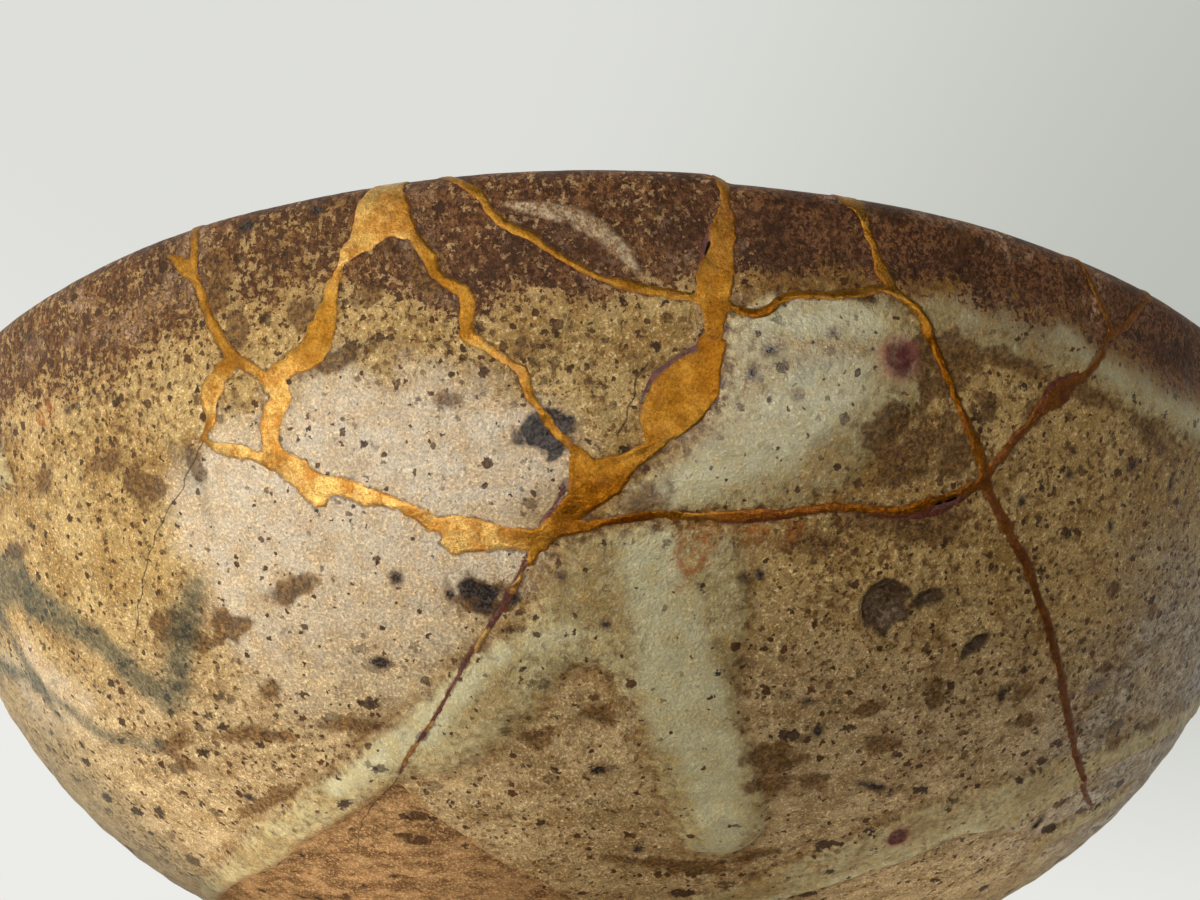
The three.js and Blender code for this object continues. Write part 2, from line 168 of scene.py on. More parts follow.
# ------------------------------------------------------------------ seams
# Each seam is a line of [angle in degrees, depth in mm, width in mm].
SEAMS = {
    "left_rim": [[-20.91, -1.7, .62], [-20.91, -.11, .66], [-20.64, 1.44, .72], [-20.7, 3.91, .71], [-20.26, 5.72, .77], [-19.95, 7.32, .77], [-19.55, 8.6, .77], [-19.03, 9.71, .83]],
    "left_fork_right": [[-19.03, 9.71, .83], [-17.77, 10.64, .76], [-17.01, 11.51, .88]],
    "left_fork_left": [[-19.03, 9.71, .89], [-20.12, 10.81, 1.41], [-20.83, 11.95, 1.16], [-21.0, 13.22, .77], [-21.61, 14.26, .65]],
    "left_low": [[-21.61, 14.26, .65], [-20.78, 15.04, .71], [-18.95, 15.87, .77], [-17.83, 16.6, .89], [-17.1, 16.9, 1.0]],
    "broad": [[-9.8, -1.7, 1.3], [-9.88, .38, 1.25], [-10.44, 2.98, 1.6], [-12.29, 4.67, .87], [-12.64, 5.43, .68], [-13.1, 6.79, .87], [-13.85, 8.91, 1.74], [-14.35, 10.07, 2.05], [-15.89, 10.91, 1.38], [-17.01, 11.51, 1.38], [-16.51, 12.56, 1.44], [-17.36, 13.86, 1.45], [-17.62, 15.41, 1.26], [-17.22, 16.58, 1.39], [-15.96, 17.68, 1.32], [-15.23, 18.62, 1.25], [-13.79, 18.82, 1.25], [-12.41, 19.62, 1.18], [-10.8, 20.3, 1.05], [-9.4, 21.4, 1.1], [-8.2, 21.9, 1.2], [-6.05, 22.55, 1.35], [-3.84, 23.27, .86]],
    "second": [[-9.66, .47, .5], [-9.13, 3.38, .73], [-8.55, 4.78, .85], [-8.09, 5.65, .73], [-7.79, 6.67, .67], [-6.57, 7.72, .85], [-6.37, 8.65, .85], [-6.43, 10.1, 1.09], [-5.68, 11.0, .66], [-4.73, 11.85, .6], [-3.88, 12.68, .66], [-3.66, 13.77, .6], [-3.2, 14.69, .6], [-2.43, 16.09, .6], [-1.35, 17.45, .6]],
    "trunk": [[5.6, -1.7, .84], [5.67, .53, .86], [5.74, 2.11, .85], [5.73, 3.68, 1.58], [5.62, 5.17, 1.51], [5.4, 7.64, 2.17], [5.48, 9.81, 1.14], [5.37, 10.97, 1.51]],
    "arc": [[-8.6, -1.7, .48], [-7.49, -.3, .5], [-6.44, 1.06, .55], [-5.66, 1.92, .55], [-5.12, 3.11, .55], [-4.15, 4.18, .54], [-3.32, 4.66, .54], [-2.4, 5.5, .54], [-1.24, 6.45, .48], [-.17, 7.12, .38], [.82, 7.54, .54], [1.99, 7.82, .54], [3.23, 8.08, .54], [4.66, 8.24, .54]],
    "bridge": [[5.6, 8.3, .7], [6.1, 8.37, .6], [6.75, 8.8, .6], [7.87, 8.69, .61], [8.48, 7.94, .61], [9.19, 7.42, .67], [10.34, 7.32, .67], [11.6, 7.06, .68], [12.91, 6.58, .68], [14.1, 6.09, .68]],
    "right": [[11.5, -1.7, 1.2], [11.93, .66, 1.38], [12.41, 1.89, .68], [12.81, 3.1, .62], [13.11, 3.87, .4], [13.5, 5.07, .81], [14.22, 6.25, .75], [14.8, 6.77, .69], [15.74, 7.52, .69], [16.42, 8.71, .69], [17.13, 9.83, .69], [17.92, 11.32, .7], [18.57, 12.46, .7], [19.42, 13.76, .7], [20.31, 15.07, .77], [21.24, 16.85, .91]],
    "right_tail": [[21.24, 16.85, .82], [21.96, 18.04, .78], [22.88, 19.07, .79], [23.74, 19.93, .79], [25.11, 21.25, .8], [26.51, 22.54, .81], [27.57, 23.79, .75], [28.82, 25.04, .76], [30.19, 26.31, .7], [31.67, 27.85, .71], [33.39, 29.35, .65], [34.49, 30.43, .66], [37.23, 32.53, .6], [40.57, 34.75, .5], [43.76, 36.29, .42], [47.69, 37.87, .36], [51.88, 38.77, .3]],
    "low": [[-3.4, 22.6, .8], [-1.97, 22.55, .55], [-.46, 22.07, .61], [1.25, 21.75, .61], [3.05, 21.4, .61], [4.66, 21.47, .61], [6.43, 21.32, .61], [8.11, 21.15, .61], [10.18, 20.8, .56], [11.34, 20.56, .56], [13.02, 20.25, .56], [15.3, 20.09, .57], [16.8, 19.88, .57], [18.28, 19.12, .57], [19.72, 18.34, .58], [21.34, 17.23, .71]],
    "far_right": [[21.25, 16.85, .78], [22.08, 15.48, .72], [22.67, 14.14, .72], [23.41, 13.09, .72], [24.17, 11.68, .92], [25.09, 10.53, 1.6], [25.82, 9.35, .94], [26.68, 8.31, .67], [27.15, 7.04, .68], [27.57, 5.82, .68], [27.94, 5.18, .75]],
    "far_fork_left": [[27.94, 5.18, .6], [27.79, 4.74, .55], [27.08, 3.59, .55], [26.24, 2.35, .54], [25.64, 1.22, .54], [25.1, -1.7, .54]],
    "far_fork_right": [[27.94, 5.18, .6], [27.96, 5.32, .62], [29.13, 3.78, .62], [30.19, 1.84, .56], [31.01, .77, .57], [31.6, -1.7, .57]],
    "tail": [[-3.84, 23.4, .8], [-3.58, 23.6, .55], [-4.33, 25.05, .43], [-5.11, 26.4, .43], [-5.8, 27.72, .38], [-6.87, 28.91, .38], [-7.64, 30.13, .38], [-8.36, 30.81, .38], [-9.54, 32.89, .36], [-10.9, 34.59, .34], [-11.89, 35.81, .32], [-13.55, 37.55, .3], [-15.31, 39.76, .24]],
}
PATCHES = {
    "broad_top": [[-10.6, -1.7], [-9.4, -1.7], [-9.52, .17], [-9.09, 2.31], [-8.9, 3.67], [-9.15, 4.01], [-9.79, 3.91], [-10.63, 4.03], [-11.31, 4.54], [-12.14, 4.89], [-11.87, 3.48], [-11.56, 1.73], [-10.8, -.29]],
    "broad_end": [[-7.97, 21.29], [-4.7, 22.1], [-3.32, 22.52], [-3.91, 23.46], [-6.06, 23.5], [-8.22, 23.7], [-8.86, 22.88]],
    "delta": [[-1.66, 17.99], [-1.04, 17.33], [-.34, 18.06], [1.14, 17.69], [2.29, 16.94], [3.46, 16.91], [2.82, 17.66], [1.92, 18.41], [.91, 20.14], [-.19, 20.94], [-1.42, 22.06], [-2.36, 22.86], [-3.09, 23.61], [-3.84, 23.27], [-3.32, 22.52], [-2.46, 21.1], [-1.75, 20.13], [-1.68, 19.08]],
    "leaf": [[4.66, 11.37], [3.51, 12.21], [2.66, 13.2], [2.24, 14.23], [1.96, 15.62], [2.29, 17.0], [3.9, 16.65], [5.02, 15.51], [5.81, 14.07], [5.86, 11.96], [6.04, 10.55], [5.0, 10.6]],
    "flag": [[-22.45, 1.88], [-20.91, 2.76], [-20.79, 4.22], [-21.55, 3.63]],
    "knot": [[-17.42, 16.03], [-17.91, 16.97], [-16.38, 18.64], [-15.77, 19.9], [-15.02, 19.81], [-14.52, 18.27], [-16.11, 17.14]],
}
# Bare lacquer that shows beside the gold.
LACQUER = {
    "beside_leaf": [[6.0, 9.9, .2], [4.9, 11.0, .4], [3.7, 11.95, .5], [2.6, 12.95, .36], [2.05, 14.2, .2], [1.9, 15.4, .1]],
    "beside_delta": [[-1.85, 18.3, .2], [-2.0, 19.6, .26], [-2.5, 20.9, .26], [-3.3, 22.0, .2]],
    "under_low_1": [[5.6, 21.55, .2], [7.2, 21.6, .5], [9.4, 21.25, .42], [11.0, 20.9, .2]],
    "under_low_2": [[14.4, 20.4, .2], [16.2, 20.3, .55], [18.3, 19.8, .7], [19.9, 18.85, .4], [20.9, 17.9, .2]],
    "far_knot": [[23.9, 11.6, .4], [24.3, 10.4, .8], [25.0, 9.6, .7], [25.9, 8.6, .3]],
    "trunk_left": [[5.1, 3.9, .22], [4.8, 5.2, .34], [4.6, 7.0, .3]],
    "arc_gap": [[-1.5, 6.3, .3], [-.2, 7.15, .42], [.9, 7.6, .3]],
    "tail_red": [[-4.0, 23.9, .42], [-5.2, 26.4, .42], [-6.87, 28.91, .38], [-8.45, 31.0, .36], [-10.9, 34.55, .32], [-13.55, 37.5, .28], [-15.3, 39.7, .2]],
    "tip_red": [[30.2, 26.3, .5], [34.5, 30.4, .7], [40.6, 34.8, .6], [47.7, 37.9, .5], [52.4, 38.8, .3]],
}
TH0, TH1, DTH = -25.0, 55.0, 0.075
L0, L1, DL = LTOP, 42.0, 0.1
GX = np.arange(TH0, TH1 + 1e-9, DTH)
GY = L0 + DL * np.arange(int((L1 - L0) / DL) + 1)
NX, NY = len(GX), len(GY)
GR = outer(GY)[0]


def smooth_line(points, step=0.35):
    p = np.array(points, float)
    if len(p) < 3:
        q = np.vstack([2 * p[0] - p[1], p, 2 * p[-1] - p[-2]])
    else:
        q = np.vstack([2 * p[0] - p[1], p, 2 * p[-1] - p[-2]])
    out = []
    for a, b, c, d in zip(q[:-3], q[1:-2], q[2:-1], q[3:]):
        n = max(1, int(math.hypot((c[0] - b[0]) * 1.2, c[1] - b[1]) / step))
        t = (np.arange(n) / n)[:, None]
        out.append(b + 0.5 * t * (c - a + t * (2 * a - 5 * b + 4 * c - d + t * (3 * (b - c) + d - a))))
    out.append(p[-1:])
    return np.vstack(out)


def stamp_line(field, width_field, line, reach=2.6):
    """Puts the distance to a tapered line into the field, negative inside."""
    own = np.full((NY, NX), 9.0)
    for a, b in zip(line[:-1], line[1:]):
        m = reach + 1.0
        r = float(outer(a[1])[0])
        dm = math.degrees(m / r)
        j0, j1 = np.searchsorted(GX, [min(a[0], b[0]) - dm, max(a[0], b[0]) + dm])
        i0, i1 = np.searchsorted(GY, [min(a[1], b[1]) - m, max(a[1], b[1]) + m])
        if j0 >= j1 or i0 >= i1:
            continue
        rr = GR[i0:i1, None]
        mid = (a[0] + b[0]) / 2
        u = np.radians(GX[None, j0:j1] - mid) * rr
        v = GY[i0:i1, None] + 0 * u
        ax, bx = math.radians(a[0] - mid) * float(outer(a[1])[0]), math.radians(b[0] - mid) * float(outer(b[1])[0])
        ex, ey = bx - ax, b[1] - a[1]
        t = np.clip(((u - ax) * ex + (v - a[1]) * ey) / (ex * ex + ey * ey + 1e-9), 0, 1)
        w = a[2] + (b[2] - a[2]) * t
        d = np.hypot(u - ax - t * ex, v - a[1] - t * ey) - w / 2
        part = own[i0:i1, j0:j1]
        win = d < part
        part[win] = d[win]
        wf = width_field[i0:i1, j0:j1]
        close = d < 0.6
        wf[close] = np.maximum(wf[close], (w + 0 * d)[close])
    k = 0.28
    h = np.clip(0.5 + 0.5 * (field - own) / k, 0, 1)
    far = (field > 5) | (own > 5)
    return np.where(far, np.minimum(field, own), field + (own - field) * h - k * h * (1 - h))


def poly_sd(u, v, poly):
    """Distance to a closed outline, positive inside."""
    d = np.full(np.shape(u), 1e9)
    ins = np.zeros(np.shape(u), bool)
    n = len(poly)
    for k in range(n):
        (ax, ay), (bx, by) = poly[k], poly[(k + 1) % n]
        ex, ey = bx - ax, by - ay
        t = np.clip(((u - ax) * ex + (v - ay) * ey) / (ex * ex + ey * ey + 1e-12), 0, 1)
        d = np.minimum(d, (u - ax - t * ex) ** 2 + (v - ay - t * ey) ** 2)
        if ay != by:
            ins ^= ((ay <= v) != (by <= v)) & (u < ax + (v - ay) / (by - ay) * ex)
    return np.where(ins, 1, -1) * np.sqrt(d)


def stamp_patch(field, poly):
    p = np.array(poly, float)
    mid = p[:, 0].mean()
    q = [(math.radians(a - mid) * float(outer(b)[0]), b) for a, b in p]
    dm = 3.0
    j0, j1 = np.searchsorted(GX, [p[:, 0].min() - dm, p[:, 0].max() + dm])
    i0, i1 = np.searchsorted(GY, [p[:, 1].min() - dm, p[:, 1].max() + dm])
    u = np.radians(GX[None, j0:j1] - mid) * GR[i0:i1, None]
    d = -poly_sd(u, GY[i0:i1, None] + 0 * u, q) - 0.05
    own = np.full((NY, NX), 9.0)
    own[i0:i1, j0:j1] = d
    k = 0.3
    h = np.clip(0.5 + 0.5 * (field - own) / k, 0, 1)
    far = (field > 5) | (own > 5)
    return np.where(far, np.minimum(field, own), field + (own - field) * h - k * h * (1 - h))


_field = np.full((NY, NX), 9.0)
_width = np.full((NY, NX), 0.3)
for _name, _pts in SEAMS.items():
    _field = stamp_line(_field, _width, smooth_line(_pts))
for _pts in PATCHES.values():
    _field = stamp_patch(_field, _pts)
_gp = place(GX[None, :] + 0 * GY[:, None], GR[:, None] + 0 * GX[None, :], outer(GY)[1][:, None] + 0 * GX[None, :])
_amp = np.clip(_width / 0.9, 0.35, 1.0)
GOLD = _field + _amp * (0.10 * noise(_gp, 1.9, 3) + 0.13 * noise(_gp, 0.8, 4) + 0.10 * noise(_gp, 0.36, 5) + 0.05 * noise(_gp, 0.2, 6))
_on_tail = (sstep(-GX, 3.6, 4.4)[None, :] * sstep(GY, 23.9, 24.6)[:, None])
GOLD = GOLD + _on_tail * (0.07 + 0.75 * np.clip(noise(_gp, 1.7, 10) + 0.30, 0, 1))
_lac = np.full((NY, NX), 9.0)
_lw = np.full((NY, NX), 0.3)
for _pts in LACQUER.values():
    _lac = stamp_line(_lac, _lw, smooth_line(_pts))
_lac = _lac + 0.07 * noise(_gp, 0.9, 8) + 0.05 * noise(_gp, 0.4, 9)
_lac = np.where(_field > 1.4, np.maximum(_lac, 0.3), _lac)
WHOLE = np.minimum(GOLD, _lac)
for _f in (GOLD, WHOLE):
    _f[:, 0] = _f[:, -1] = 9.0
    _f[-1] = 9.0


def look_up(grid, th, l, outside=9.0):
    x = (np.asarray(th) - TH0) / DTH
    y = (np.asarray(l) - L0) / DL
    ok = (x >= 0) & (x < NX - 1) & (y > -1e-6) & (y < NY - 1)
    xi = np.clip(np.floor(x).astype(int), 0, NX - 2)
    yi = np.clip(np.floor(y).astype(int), 0, NY - 2)
    fx, fy = np.clip(x - xi, 0, 1), np.clip(y - yi, 0, 1)
    g = (grid[yi, xi] * (1 - fx) + grid[yi, xi + 1] * fx) * (1 - fy) + (grid[yi + 1, xi] * (1 - fx) + grid[yi + 1, xi + 1] * fx) * fy
    return np.where(ok, g, outside)


def contours(grid, level):
    """Chains of (angle, depth) along the level, and whether each is closed."""
    s = grid < level
    mixed = ~((s[:-1, :-1] == s[:-1, 1:]) & (s[:-1, :-1] == s[1:, :-1]) & (s[:-1, :-1] == s[1:, 1:]))
    pts, links = {}, {}
    big = NX * NY

    def cross(i, j, i2, j2):
        key = i * NX + j + (0 if i == i2 else big)
        if key not in pts:
            a, b = grid[i, j], grid[i2, j2]
            t = min(0.98, max(0.02, (level - a) / (b - a)))
            pts[key] = (TH0 + DTH * (j + t * (j2 - j)), L0 + DL * (i + t * (i2 - i)))
        return key

    for i, j in zip(*np.nonzero(mixed)):
        c = (s[i, j], s[i, j + 1], s[i + 1, j + 1], s[i + 1, j])
        e = []
        if c[0] != c[1]:
            e.append(cross(i, j, i, j + 1))
        if c[1] != c[2]:
            e.append(cross(i, j + 1, i + 1, j + 1))
        if c[2] != c[3]:
            e.append(cross(i + 1, j, i + 1, j + 1))
        if c[3] != c[0]:
            e.append(cross(i, j, i + 1, j))
        if len(e) == 4:
            mid = (grid[i, j] + grid[i, j + 1] + grid[i + 1, j] + grid[i + 1, j + 1]) / 4 < level
            pairs = ((e[0], e[1]), (e[2], e[3])) if mid == c[0] else ((e[0], e[3]), (e[1], e[2]))
        else:
            pairs = ((e[0], e[1]),)
        for a, b in pairs:
            links.setdefault(a, []).append(b)
            links.setdefault(b, []).append(a)
    seen, chains = set(), []

    def walk(start):
        chain, at, back = [start], start, None
        seen.add(start)
        while True:
            nxt = [n for n in links[at] if n != back and n not in seen]
            if not nxt:
                return chain
            back, at = at, nxt[0]
            seen.add(at)
            chain.append(at)

    for k in sorted(links):
        if k not in seen and len(links[k]) == 1:
            chains.append((False, walk(k)))
    for k in sorted(links):
        if k not in seen:
            chains.append((True, walk(k)))
    return [(closed, np.array([pts[k] for k in c])) for closed, c in chains]


def resample(chain, closed, step):
    xy = to_disc(chain[:, 0], chain[:, 1])
    if closed:
        xy = np.vstack([xy, xy[:1]])
    d = np.concatenate([[0], np.cumsum(np.hypot(*np.diff(xy, axis=0).T))])
    n = max(3 if closed else 2, int(round(d[-1] / step)))
    at = np.linspace(0, d[-1], n + 1)
    out = np.stack([np.interp(at, d, xy[:, 0]), np.interp(at, d, xy[:, 1])], 1)
    return out[:-1] if closed else out


def hexes(step, keep):
    """A triangular lattice over the disc. The argument keep is not used."""
    n = int(RHO_OUT / step) + 2
    m = int(RHO_OUT / (step * 0.8660254)) + 2
    j, i = np.meshgrid(np.arange(-m, m + 1), np.arange(-n, n + 1), indexing="ij")
    i, j = i.ravel(), j.ravel()
    x = step * (i + 0.5 * j)
    y = step * 0.8660254 * j
    # the skewed rows are brought back over the disc
    ok = np.hypot(x, y) < RHO_OUT
    i2 = np.concatenate([i[ok]])
    pts = np.stack([x[ok], y[ok]], 1)
    return pts, i2, j[ok]


def lattice(step):
    m = int(RHO_OUT / (step * 0.8660254)) + 2
    rows = []
    for j in range(-m, m + 1):
        y = step * 0.8660254 * j
        if abs(y) >= RHO_OUT:
            continue
        half = math.sqrt(RHO_OUT**2 - y * y)
        i = np.arange(int(math.ceil((-half) / step - 0.5 * j)), int(math.floor(half / step - 0.5 * j)) + 1)
        rows.append(np.stack([step * (i + 0.5 * j), np.full(len(i), y), i, np.full(len(i), j)], 1))
    return np.vstack(rows)


def triangulate(points, edges):
    """Returns points (extra ones last) and triangles by input number, turning anticlockwise."""
    out = delaunay_2d_cdt([Vector(p) for p in points.tolist()], [tuple(e) for e in edges], [], 0, 1e-7, True)
    verts, faces, back = out[0], out[2], out[3]
    ids, extra = np.zeros(len(verts), int), []
    for k, o in enumerate(back):
        if len(o):
            ids[k] = o[0]
        else:
            ids[k] = len(points) + len(extra)
            extra.append((verts[k][0], verts[k][1]))
    pts = np.vstack([points, np.array(extra)]) if extra else points
    tri = ids[np.array([f for f in faces if len(f) == 3])]
    a, b, c = pts[tri[:, 0]], pts[tri[:, 1]], pts[tri[:, 2]]
    area = (b[:, 0] - a[:, 0]) * (c[:, 1] - a[:, 1]) - (b[:, 1] - a[:, 1]) * (c[:, 0] - a[:, 0])
    tri = tri[np.abs(area) > 1e-9]
    area = area[np.abs(area) > 1e-9]
    tri[area < 0] = tri[area < 0][:, ::-1]
    return pts, tri


def components(tri, count):
    """Numbers the connected groups of triangles by shared vertices along edges."""
    e = np.sort(np.vstack([tri[:, [0, 1]], tri[:, [1, 2]], tri[:, [2, 0]]]), 1)
    owner = np.tile(np.arange(len(tri)), 3)
    key = e[:, 0].astype(np.int64) * (count + 1) + e[:, 1]
    order = np.argsort(key, kind="stable")
    key, owner = key[order], owner[order]
    same = key[1:] == key[:-1]
    pairs = np.stack([owner[:-1][same], owner[1:][same]], 1)
    label = np.arange(len(tri))
    while True:
        low = np.minimum(label[pairs[:, 0]], label[pairs[:, 1]])
        new = label.copy()
        np.minimum.at(new, pairs[:, 0], low)
        np.minimum.at(new, pairs[:, 1], low)
        new = new[new]
        new = new[new]
        if (new == label).all():
            return label
        label = new


# ------------------------------------------------------------------ zones
# Flat map of the outside: across = angle * 1.15 mm, down = depth.
KU = 1.15


def _flat(points):
    return [(a * KU, b) for a, b in points]


BAND_EDGE = np.array([(-180, 7), (-150, 8.6), (-120, 6.6), (-95, 8.2), (-70, 6.4), (-55, 7.4), (-38, 7.6), (-31.6, 8.6), (-26.5, 9), (-22.1, 8), (-19.5, 7.7), (-17.1, 7.5), (-14.8, 6.9), (-12.2, 6.9), (-9.7, 7.8), (-7.8, 9.2), (-5.8, 9.3), (-3.9, 8.3), (-2, 8.8), (.9, 9.2), (2.8, 8.4), (4.2, 7.7), (6.5, 6.9), (8.9, 5.9), (11.9, 5.7), (14.6, 6.2), (17.3, 5.8), (20.3, 5.5), (23.6, 5.7), (27.3, 6.3), (31.7, 6.5), (37, 5.8), (50, 6.4), (68, 7.8), (90, 6.2), (112, 7.6), (135, 6.0), (160, 8.2), (180, 7)])
PALE = {
    "upper_right": [(13.4, 6.5), (14.6, 6.0), (16.8, 5.2), (19.4, 4.7), (23.0, 4.2), (25.6, 5.1), (27.6, 6.0), (31.6, 6.1), (36.4, 5.6), (45, 6.0), (58, 7.0), (70, 8.4), (72, 9.3), (58, 10.4), (45, 10.9), (36.7, 10.4), (32.6, 10.0), (29.2, 9.5), (26.8, 9.1), (23.8, 9.1), (19.9, 8.9), (17.5, 9.2), (16.2, 9.0), (15.2, 7.9)],
    "right_sherd": [(6.2, 9.3), (8.2, 7.5), (12.2, 6.7), (14.1, 6.1), (16.1, 8.6), (16.4, 10.6), (16.2, 13.4), (15.0, 14.4), (14.8, 16.3), (13.2, 19.0), (10.4, 20.4), (8.2, 20.9), (2.6, 21.4), (.2, 21.9), (1.6, 19.6), (3.7, 17.7), (5.4, 15.5), (6.3, 12.5), (6.3, 11.0)],
    "leg": [(-1.5, 22.9), (2.5, 22.0), (7.2, 22.1), (7.9, 24.5), (8.3, 27.5), (8.4, 32.3), (9.6, 36.0), (11.1, 39.0), (13.2, 42.6), (13.9, 44.9), (13.2, 46.9), (11.2, 48.1), (8.6, 47.9), (6.6, 46.4), (5.6, 44.2), (4.4, 41.4), (3.2, 38.2), (2.2, 34.6), (.6, 32.1), (-1.2, 30.9), (-3.6, 31.9), (-5.6, 31.0), (-4.2, 27.6), (-2.9, 25.0)],
    "low_band": [(2, 56.4), (8, 54.8), (13, 52.2), (17.6, 49.2), (22.7, 45.5), (27.7, 41.7), (33.9, 38.8), (38.2, 36.4), (42.3, 34.5), (47, 31.6), (54, 27.5), (60.5, 23.7), (62, 26), (54, 30.5), (46.4, 35.3), (44.2, 37.2), (43.2, 40.5), (39.4, 43.2), (34.4, 43.9), (32.4, 45.8), (29.2, 48.4), (24.2, 51.0), (19.7, 53.7), (13, 55.8), (8, 57.2), (2, 57.8)],
    "low_drip": [(51.5, 47.2), (48.0, 44.4), (48.4, 41.6), (52.5, 39.2), (58, 35), (60, 37), (55, 41), (51.8, 43.4), (54, 47)],
    "edge_left": [(-58.0, 7.9), (-46.0, 8.8), (-38.0, 9.4), (-38.0, 12.4), (-46.0, 14.2), (-58.0, 12.6)],
}
STRIPE = [(4.0, 30.6, 3.0), (1.0, 29.9, 3.2), (-2.4, 30.1, 3.4), (-4.2, 30.9, 4.6), (-6.4, 32.7, 5.8), (-10.3, 36.3, 6.0), (-15, 37.9, 4.4), (-19, 40.0, 3.4), (-24.5, 42.6, 3.8), (-33.3, 46.2, 4.2), (-46, 49.4, 2.8), (-58, 51.2, 2.2), (-66, 51.8, 1.8)]
# Lines of thick white glaze; the first, along the stripe's upper edge, is a painted sheen.
WHITE_AND_SHEEN = [[(-1.7, 29.3, 1.0), (-5.5, 29.7, 1.8), (-8.6, 32.0, 2.4), (-11.5, 35.0, 2.4), (-14.5, 36.8, 2.8), (-17.5, 38.6, 2.4), (-20.5, 39.8, 1.4)], [(7.4, 46.6, .8), (9.9, 47.0, 1.6), (12.4, 46.4, .8)], [(13, 55.3, .8), (19.7, 53.2, .9), (24.2, 50.6, .9), (29.2, 47.9, .9), (34.0, 43.6, 1.0), (39.4, 42.9, .8), (43.0, 40.2, .8)], [(2.4, 20.4, 2.0), (5.6, 18.8, 3.4), (9.0, 15.8, 4.4), (12.5, 12.6, 3.0)], [(18.0, 6.6, 1.6), (23.0, 6.0, 1.8), (29.0, 7.6, 1.8), (37, 7.9, 2.0)], [(2.6, 23.0, 3.4), (3.6, 28.0, 4.6), (5.0, 33.0, 5.0), (7.2, 38.0, 5.0), (9.8, 44.0, 4.6), (10.2, 46.4, 4.0)], [(8.0, 8.6, 1.8), (11.0, 8.4, 2.4), (13.6, 8.6, 1.8)]]
CRESCENT = [(-4.4, 2.7, .35), (-3.8, 2.9, .8), (-2.6, 3.1, 1.1), (-1.2, 3.6, 1.2), (.2, 4.6, 1.1), (1.2, 5.9, .9), (1.8, 7.0, .4)]
CLAY = [(-15.6, 40.3), (-19.5, 42.4), (-23.5, 44.0), (-34.7, 48.3), (-54, 51.6), (-75, 54.5), (-80, 62), (10, 62), (6, 57.5), (-2.9, 54.9), (-5.6, 52.4), (-9.4, 49.0), (-11.6, 46.2), (-13.4, 44.0)]
# Outline of the pink patch on the left, whose lighter colour also paints a sheen.
PINK_AND_SHEEN = [(-16.6, 12.9), (-11, 11.9), (-6.5, 13.6), (-3, 14.4), (-2.1, 18.6), (-3.8, 21.7), (-3.5, 25.5), (-9.4, 30.8), (-13.3, 33.5), (-21.2, 34.4), (-24.1, 31.7), (-25.1, 24.7), (-24.2, 17.8), (-22, 15)]
ZIGZAG = [(-60, 16.6, 4.6), (-52, 18.0, 4.6), (-48.0, 19.8, 3.6), (-45.0, 22.8, 2.8), (-41.0, 26.0, 2.6), (-38.4, 29.4, 2.6), (-37.0, 31.2, 2.4), (-35.2, 30.6, 2.2), (-32.6, 28.2, 2.4), (-30.4, 25.6, 2.2), (-28.6, 23.6, 1.2)]
SMUDGE = [(-66, 21, 1.2), (-59.9, 24, 1.4), (-54.1, 26.9, 1.3), (-50.2, 31.4, 1.3), (-46.0, 33.6, 1.2), (-41.0, 34.8, .8)]
HAIRLINES = {
    "tail": [[-15.31, 39.76], [-17.2, 41.35], [-18.51, 42.27], [-20.79, 44.23], [-22.26, 45.96], [-23.6, 47.9]],
    "left": [[-21.6, 14.3], [-22.92, 16.02], [-24.18, 17.43], [-25.53, 18.57], [-27.22, 20.31], [-28.65, 22.02], [-30.5, 24.55], [-31.9, 26.21], [-32.6, 27.6]],
    "leaf": [[2.2, 12.3], [2.06, 12.56], [1.83, 13.23], [1.5, 14.25], [1.12, 15.64], [.73, 17.15]],
}
# Marks: angle, depth, half width across, half width down, turn in degrees (anticlockwise seen from outside is positive).
BLACKS = [(-2.75, 16.2, 1.45, 1.35, 10), (-7.7, 25.9, .75, .55, 30), (-6.5, 26.2, .95, .6, -10), (-6.9, 27.2, .6, .45, 0), (-5.3, 26.8, .7, .42, 20), (-8.6, 26.3, .32, .3, 0), (-13.7, 1.5, .40, .38, 0), (-17.6, 1.6, .60, .42, 10), (32.0, 13.4, .34, .42, 0), (36.1, 13.2, .2, .5, 12), (31.6, 17.8, .24, .26, 0), (8.9, 25.0, .34, .3, 0), (8.0, 25.2, .2, .2, 0), (.3, 28.4, .22, .2, 0), (-.1, 39.7, .55, .42, 0), (8.2, 11.0, .3, .24, 0), (7.4, 12.6, .28, .26, 20), (11.3, 9.6, .22, .17, 0), (-11.8, 24.9, .3, .3, 0), (-2.3, 25.2, .24, .22, 0), (26.9, 13.9, .2, .22, 0), (27.1, 15.4, .2, .2, 0), (24.2, 18.0, .22, .24, 0), (15.2, 36.0, .34, .4, 0), (28.6, 31.5, .4, .6, 10), (-31, 9.6, .26, .2, 0), (-13.9, 30.6, .5, .34, 0), (21.8, 40.4, .9, .22, -8), (44.6, 42.0, .5, .7, 20), (9.8, 13.6, .2, .16, 0), (13.6, 33.6, .3, .24, 0), (12.1, 33.3, .24, .2, 0), (-22.5, 1.9, .2, .2, 0), (-27.5, 6.1, .26, .22, 0), (-33.4, 3.2, .3, .26, 0), (3.2, 47.6, .28, .4, 0), (-30.2, 40.6, .3, .24, 0), (-44.5, 41.2, .34, .26, 0)]
